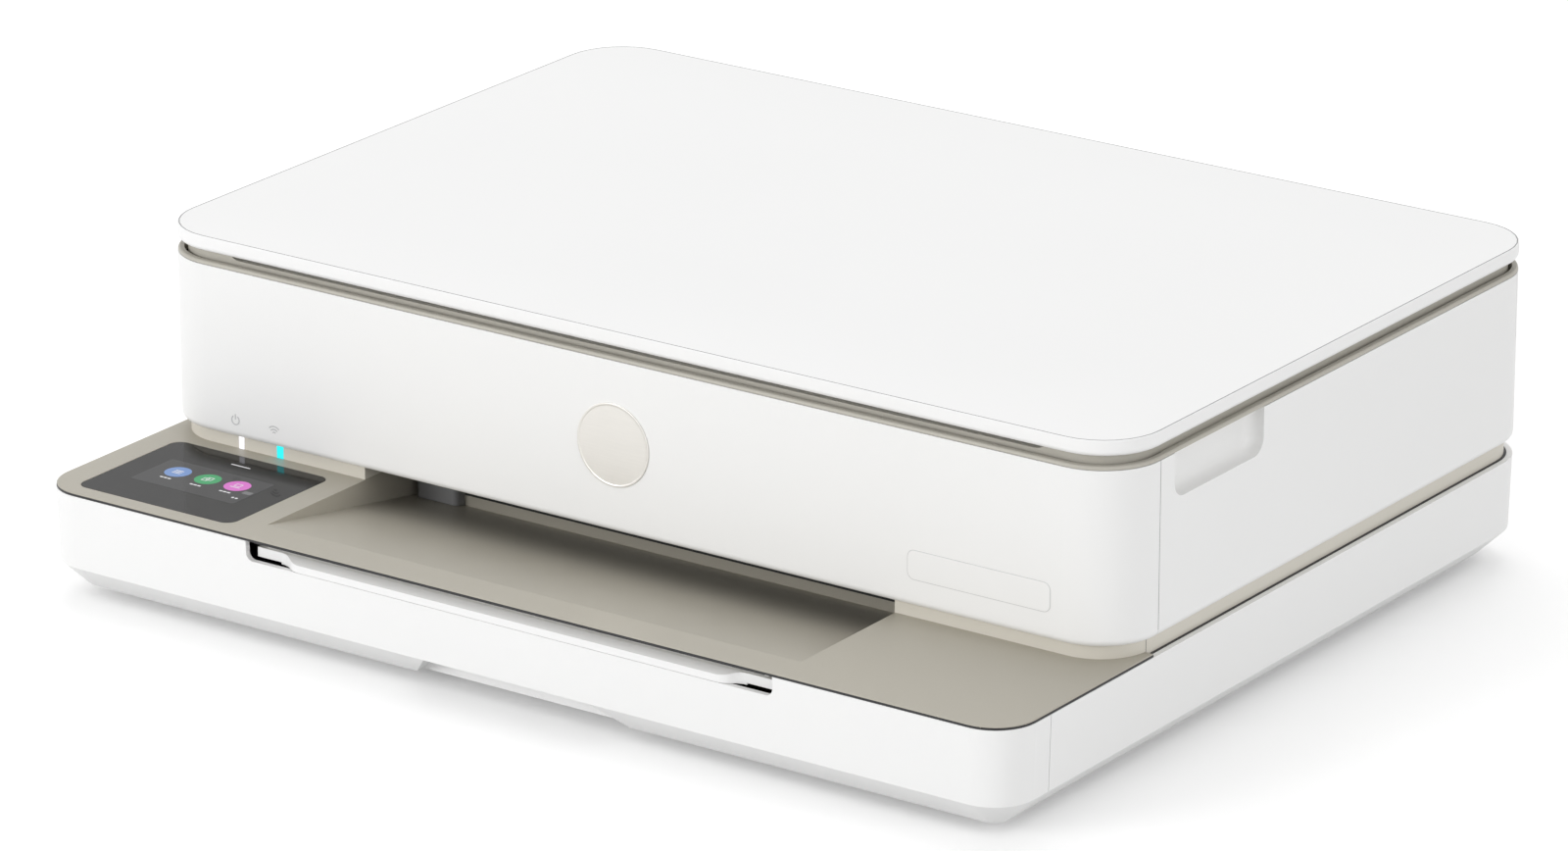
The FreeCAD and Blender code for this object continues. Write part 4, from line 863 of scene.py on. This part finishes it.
# Both strips are painted shadow: black where the gaps lie in shade.
edge_strip("deck_gap_shadow", deck_high.x + DECK_LINE_OUT, deck_low.y - DECK_LINE_OUT, band_low.y + DECK_R,
           DECK_R, DECK_LINE_Z, DECK_LINE_THICK, FRONT)
edge_strip("band_slot_shadow", band_high.x + BAND_LINE_OUT, band_low.y - BAND_R - BAND_LINE_OUT,
           band_high.y + BAND_LINE_OUT, BAND_R + BAND_LINE_OUT, BAND_LINE_Z, BAND_LINE_THICK, REAR)

# %% [markdown]
# ## Straight painted shadow lines
#
# Straight black strips of painted shadow stand in the seams between the panels, one hangs under the deck
# above the lip of the extender, in the deck's shadow, and one lies at the back of the output bay, above the
# bar, where the opening is dark. A plain block is enough for lines as fine as these, and only the last one
# has round corners.

# %% Straight painted shadow lines
SEAM_HALF = 0.13
SEAM_DEEP = 0.5
LIP_LINE_X = (-114.0, 114.0)
LIP_LINE_Y = (-179.65, -179.3)
LIP_LINE_Z = (43.12, 43.88)
BAY_LINE_X = (-96.8, 119.1)
BAY_LINE_Z = (33.9, 35.45)
BAY_LINE_R = 0.2
BAY_LINE_THICK = 0.05
BAY_LINE_LIFT = 0.01
BAR_FACE = -75.0

# Each pair of painted shadow lines in the seams is its name, its place in Y, its distance from the
# middle, its foot and its head.
GAP_SHADOWS = (("panel_gap_shadow", -85.1, 216.46, 53.0, 115.9), ("band_gap_shadow", -87.7, 213.14, 43.6, 49.9))


def block(x0, x1, y0, y1, z0, z1):
    """Plain block between two corners."""
    place = point((x0 + x1) / 2, (y0 + y1) / 2, (z0 + z1) / 2)
    bpy.ops.mesh.primitive_cube_add(size=1.0, location=place)
    piece = bpy.context.object
    piece.scale = ((x1 - x0) * MM, (y1 - y0) * MM, (z1 - z0) * MM)
    return piece


for name, y, x, foot, head in GAP_SHADOWS:
    for side, x0, x1 in (("left", -x, SEAM_DEEP - x), ("right", x - SEAM_DEEP, x)):
        settle_shadow_line(block(x0, x1, y - SEAM_HALF, y + SEAM_HALF, foot, head), f"{name}_{side}")

# Painted shadow under the deck's edge, above the lip.
settle_shadow_line(block(*LIP_LINE_X, *LIP_LINE_Y, *LIP_LINE_Z), "lip_shadow_line")
# Painted shadow for the dark opening above the bar.
bay_shadow = rounded_plate(BAY_LINE_X[1] - BAY_LINE_X[0], BAY_LINE_Z[1] - BAY_LINE_Z[0], BAY_LINE_THICK,
                         BAY_LINE_R)
lay(bay_shadow, "front", point(sum(BAY_LINE_X) / 2, BAR_FACE - BAY_LINE_LIFT, sum(BAY_LINE_Z) / 2))
settle_shadow_line(bay_shadow, "bay_slot_shadow")

# %% [markdown]
# ## Painted shade along the edge of the lid
#
# The lid's crown meets its side in a crisp edge, which the photograph shows as a fine grey line of shade
# where the light turns. Light alone doesn't draw it on a white lid, so it is painted shade, a piece of its
# own. A rounded plate has its top inset; only the narrow ring between the two outlines is kept and
# thickened.

# %% Painted shade line along the lid's edge
LID_R = 24.0
LID_LINE_IN = 0.35
LID_LINE_WIDE = 0.35
LID_LINE_TOP = 127.31
LID_LINE_THICK = 0.05
# A dark grey of painted shade, for the turn of the light at the lid's edge.
painted_edge_shade = moulded("painted_edge_shade", (0.20, 0.20, 0.205), gloss=0.5)

lid_low, lid_high = span("lid_shell")
lid_width = lid_high.x - lid_low.x - 2 * LID_LINE_IN
lid_depth = lid_high.y - lid_low.y - 2 * LID_LINE_IN
ring = rounded_plate(lid_width, lid_depth, LID_LINE_THICK, LID_R)
inset_top(ring, (LID_LINE_WIDE, 0.0))
bpy.ops.mesh.delete(type="FACE")
pick(ring, "faces", lambda face: not top_face(face))
bpy.ops.mesh.delete(type="FACE")
thicken(ring, LID_LINE_THICK)
lay(ring, "up", point(0, (lid_low.y + lid_high.y) / 2, LID_LINE_TOP - LID_LINE_THICK))
settle(ring, "lid_edge_shade", "lid", painted_edge_shade)

# %% [markdown]
# ## Marks on the back and inside
#
# The two push buttons at the back carry the same signs as the lights. Inside, each cartridge has dots for
# its inks, the scanner frame an arrow and size ticks at the corner where a document is laid, and the
# paper tray ticks for common widths. A picture on the surface could show them, but as thin pieces they
# can each ride the body that they are printed on.

# %% Signs on the rear buttons
KEY_FACE = span("power_button")[1].y
POWER_KEY_R = 2.1
WIRELESS_KEY_R = 1.75
WIRELESS_KEY_STROKE = 0.4
WIRELESS_KEY_DROP = 1.1


def middle(node):
    """Middle of a CAD node, in millimetres."""
    low, high = span(node)
    return (low + high) / 2


key_middle = middle("power_button")
# The key signs wear the same grey of painted shade.
put_sign(power_sign(POWER_KEY_R, STROKE), "power_key_sign", "power_key", "rear",
         point(key_middle.x, KEY_FACE, key_middle.z))
put_sign(wireless_sign(WIRELESS_KEY_R, WIRELESS_KEY_STROKE), "wireless_key_sign", "wireless_key", "rear",
         point(middle("wireless_button").x, KEY_FACE, key_middle.z - WIRELESS_KEY_DROP))

# %% Ink dots on the cartridges
BLACK_X, COLOUR_X = middle("black_cartridge").x, middle("colour_cartridge").x
INK_STEP = 5.0
INKS = (("ink_black", BLACK_X, (0.26, 0.26, 0.27)),
        ("ink_cyan", COLOUR_X - INK_STEP, (0.02, 0.42, 0.66)),
        ("ink_magenta", COLOUR_X, (0.62, 0.03, 0.26)),
        ("ink_yellow", COLOUR_X + INK_STEP, (0.82, 0.62, 0.02)))
DOT_R = 1.8
DOT_THICK = 0.1
DOT_CORNERS = 40
SLOPE_Y, SLOPE_Z = -22.0, 66.5
SLOPE_ANGLE = math.radians(47.3)
FACE_TURN["slope"] = (SLOPE_ANGLE, 0, 0)

for ink, x, colour in INKS:
    dot = disc(DOT_R, DOT_THICK, DOT_CORNERS)
    lay(dot, "slope", point(x, SLOPE_Y, SLOPE_Z))
    settle(dot, ink + "_dot", "carriage_unit", moulded(ink, colour, gloss=0.4))

# %% Scanner corner and tray ticks
BEZEL_TOP = 118.3
TRAY_FLOOR = 8.3
TICK_THICK = 0.06
ARROW_X, ARROW_Y = -171.5, 156.5
ARROW_R = 4.0
ARROW_CORNERS = 3
ARROW_TURN = math.radians(225)

# Each row is its name, its body, its height, the places of its ticks in X, half a tick's width and the
# ends of the ticks in Y.
TICK_ROWS = (("size_ticks", "scanner_unit", BEZEL_TOP, (-60.0, -17.0, 45.0, 132.0), 0.3, (152.5, 156.5)),
             ("tray_ticks", "tray", TRAY_FLOOR, (-105.0, -74.0, -52.5), 0.4, (-48.0, -42.0)))

arrow = disc(ARROW_R, TICK_THICK, ARROW_CORNERS)
arrow.rotation_euler = (0, 0, ARROW_TURN)
arrow.location = point(ARROW_X, ARROW_Y, BEZEL_TOP)
settle(arrow, "corner_arrow", "scanner_unit", white_shell)
for name, body, height, places, half, ends in TICK_ROWS:
    ticks = join([straight_bar(x - half, x + half, *ends, TICK_THICK) for x in places])
    lay(ticks, "up", point(0, 0, height))
    settle(ticks, name, body, white_shell)

# %% [markdown]
# ## Screws below
#
# Four screws enter the posts under the chassis. Only their heads can be seen, so the thread is left out.
# A head is a short cylinder whose face is inset, then sunk to make its round drive.

# %% Screws
SCREWS = [(x, y) for y in (-36.0, 60.0) for x in (-165.0, 165.0)]
HEAD_R = 3.2
HEAD_THICK = 0.6
HEAD_CORNERS = 48
HEAD_BORDER = 1.7
HEAD_BEVEL = 0.12
DRIVE_STEP = 0.2
DRIVE_SINK = 0.4

for number, (x, y) in enumerate(SCREWS, 1):
    head = disc(HEAD_R, HEAD_THICK, HEAD_CORNERS)
    edit(head)
    inset_top(head, (HEAD_BORDER, 0.0), (DRIVE_STEP, -DRIVE_SINK))
    lay(head, "down", point(x, y, UNDERSIDE))
    settle(head, f"base_screw_{number}", "base", bright_steel, bevel=HEAD_BEVEL)

# %% [markdown]
# ## Room and floor
#
# The photograph has a white ground. A room as bright as that would wash out every shadow on the printer.
# So camera, glossy and transmission rays see a white room and a white floor, while the light that falls
# on the printer stays at a plain level.

# %% Room
WHITE = (1.0, 1.0, 1.0, 1.0)
ROOM_LIGHT, ROOM_SEEN = 0.66, 1.0


def seen_rays(tree):
    """1 for rays whose result is looked at, 0 for those that only carry light."""
    path = tree.nodes.new("ShaderNodeLightPath")
    total = path.outputs["Is Camera Ray"]
    for kind in ("Is Glossy Ray", "Is Transmission Ray"):
        add = tree.nodes.new("ShaderNodeMath")
        add.operation = "ADD"
        add.use_clamp = True
        tree.links.new(total, add.inputs[0])
        tree.links.new(path.outputs[kind], add.inputs[1])
        total = add.outputs["Value"]
    return total


world = bpy.data.worlds.new("white_room")
world.use_nodes = True
room = world.node_tree
background = room.nodes["Background"]
background.inputs["Color"].default_value = WHITE
room_level = add_range(room, seen_rays(room), ROOM_LIGHT, ROOM_SEEN, WHOLE)
room.links.new(room_level, background.inputs["Strength"])
bpy.context.scene.world = world
print("room lights with", ROOM_LIGHT, "and is seen as", ROOM_SEEN)

# %% Floor
FLOOR_SIZE = 12.0
FLOOR_LIGHT, FLOOR_SEEN = (0.70, 0.70, 0.70), (0.97, 0.97, 0.97)
FLOOR_GLOW = 0.16


def pale_floor(name):
    """Matt floor that looks lighter than the light it sends back."""
    material, tree, shader, place = start_material(name)
    seen = seen_rays(tree)
    gloss = add_range(tree, add_noise(tree, place, scale=3.0), low=0.85, high=0.95)
    paint(tree, shader, add_ramp(tree, seen, FLOOR_LIGHT, FLOOR_SEEN, WHOLE), gloss)
    shader.inputs["Emission Color"].default_value = WHITE
    glow = add_range(tree, seen, low=0.0, high=FLOOR_GLOW, window=WHOLE)
    tree.links.new(glow, shader.inputs["Emission Strength"])
    return material


bpy.ops.mesh.primitive_plane_add(size=FLOOR_SIZE, location=(0, 0, 0))
floor = bpy.context.object
floor.name = "floor"
dress(floor, pale_floor("pale_floor"))
print("floor", FLOOR_SIZE, "m across")

# %% [markdown]
# ## Lamps and camera
#
# Large square lamps give the soft light of a photographer's studio, from above, the front and the right.
# The camera stands where the photographer stood: its place, turn and lens come from the perspective of
# the photograph, solved with the printer's width.

# %% Lamps
# Each lamp is its name, its place, the point that it is turned to, its size in metres and its power in watts.
LAMPS = (("top_box", (-0.45, 0.75, 1.75), (-0.05, 0.05, 0.1), 1.5, 9.0),
         ("front_box", (-1.1, -2.3, 0.7), (0, -0.1, 0.05), 1.2, 26.0),
         ("side_box", (2.3, -0.5, 0.7), (0.1, 0, 0.05), 1.4, 11.0))


def hold(name, data, place):
    """Object that holds a lamp or a camera in its place."""
    holder = bpy.data.objects.new(name, data)
    bpy.context.scene.collection.objects.link(holder)
    holder.location = place
    return holder


for name, place, target, size, power in LAMPS:
    lamp = bpy.data.lights.new(name, "AREA")
    lamp.size = size
    lamp.energy = power
    aim = Vector(target) - Vector(place)
    holder = hold(name, lamp, place)
    holder.rotation_euler = aim.to_track_quat("-Z", "Y").to_euler()
print("lamps", len(bpy.data.lights))

# %% Camera
LENS = 181.0
SENSOR_WIDTH = 36.0
CAMERA_PLACE = (1.5907, -2.2722, 1.0554)
CAMERA_TURN = (math.radians(70.247), 0.0, math.radians(35.057))

camera = bpy.data.cameras.new("photo_camera")
camera.lens = LENS
camera.sensor_width = SENSOR_WIDTH
viewer = hold("photo_camera", camera, CAMERA_PLACE)
viewer.rotation_euler = CAMERA_TURN
bpy.context.scene.camera = viewer
bpy.context.scene.view_settings.view_transform = "Standard"
print("camera with a lens of", LENS, "mm at", *CAMERA_PLACE)
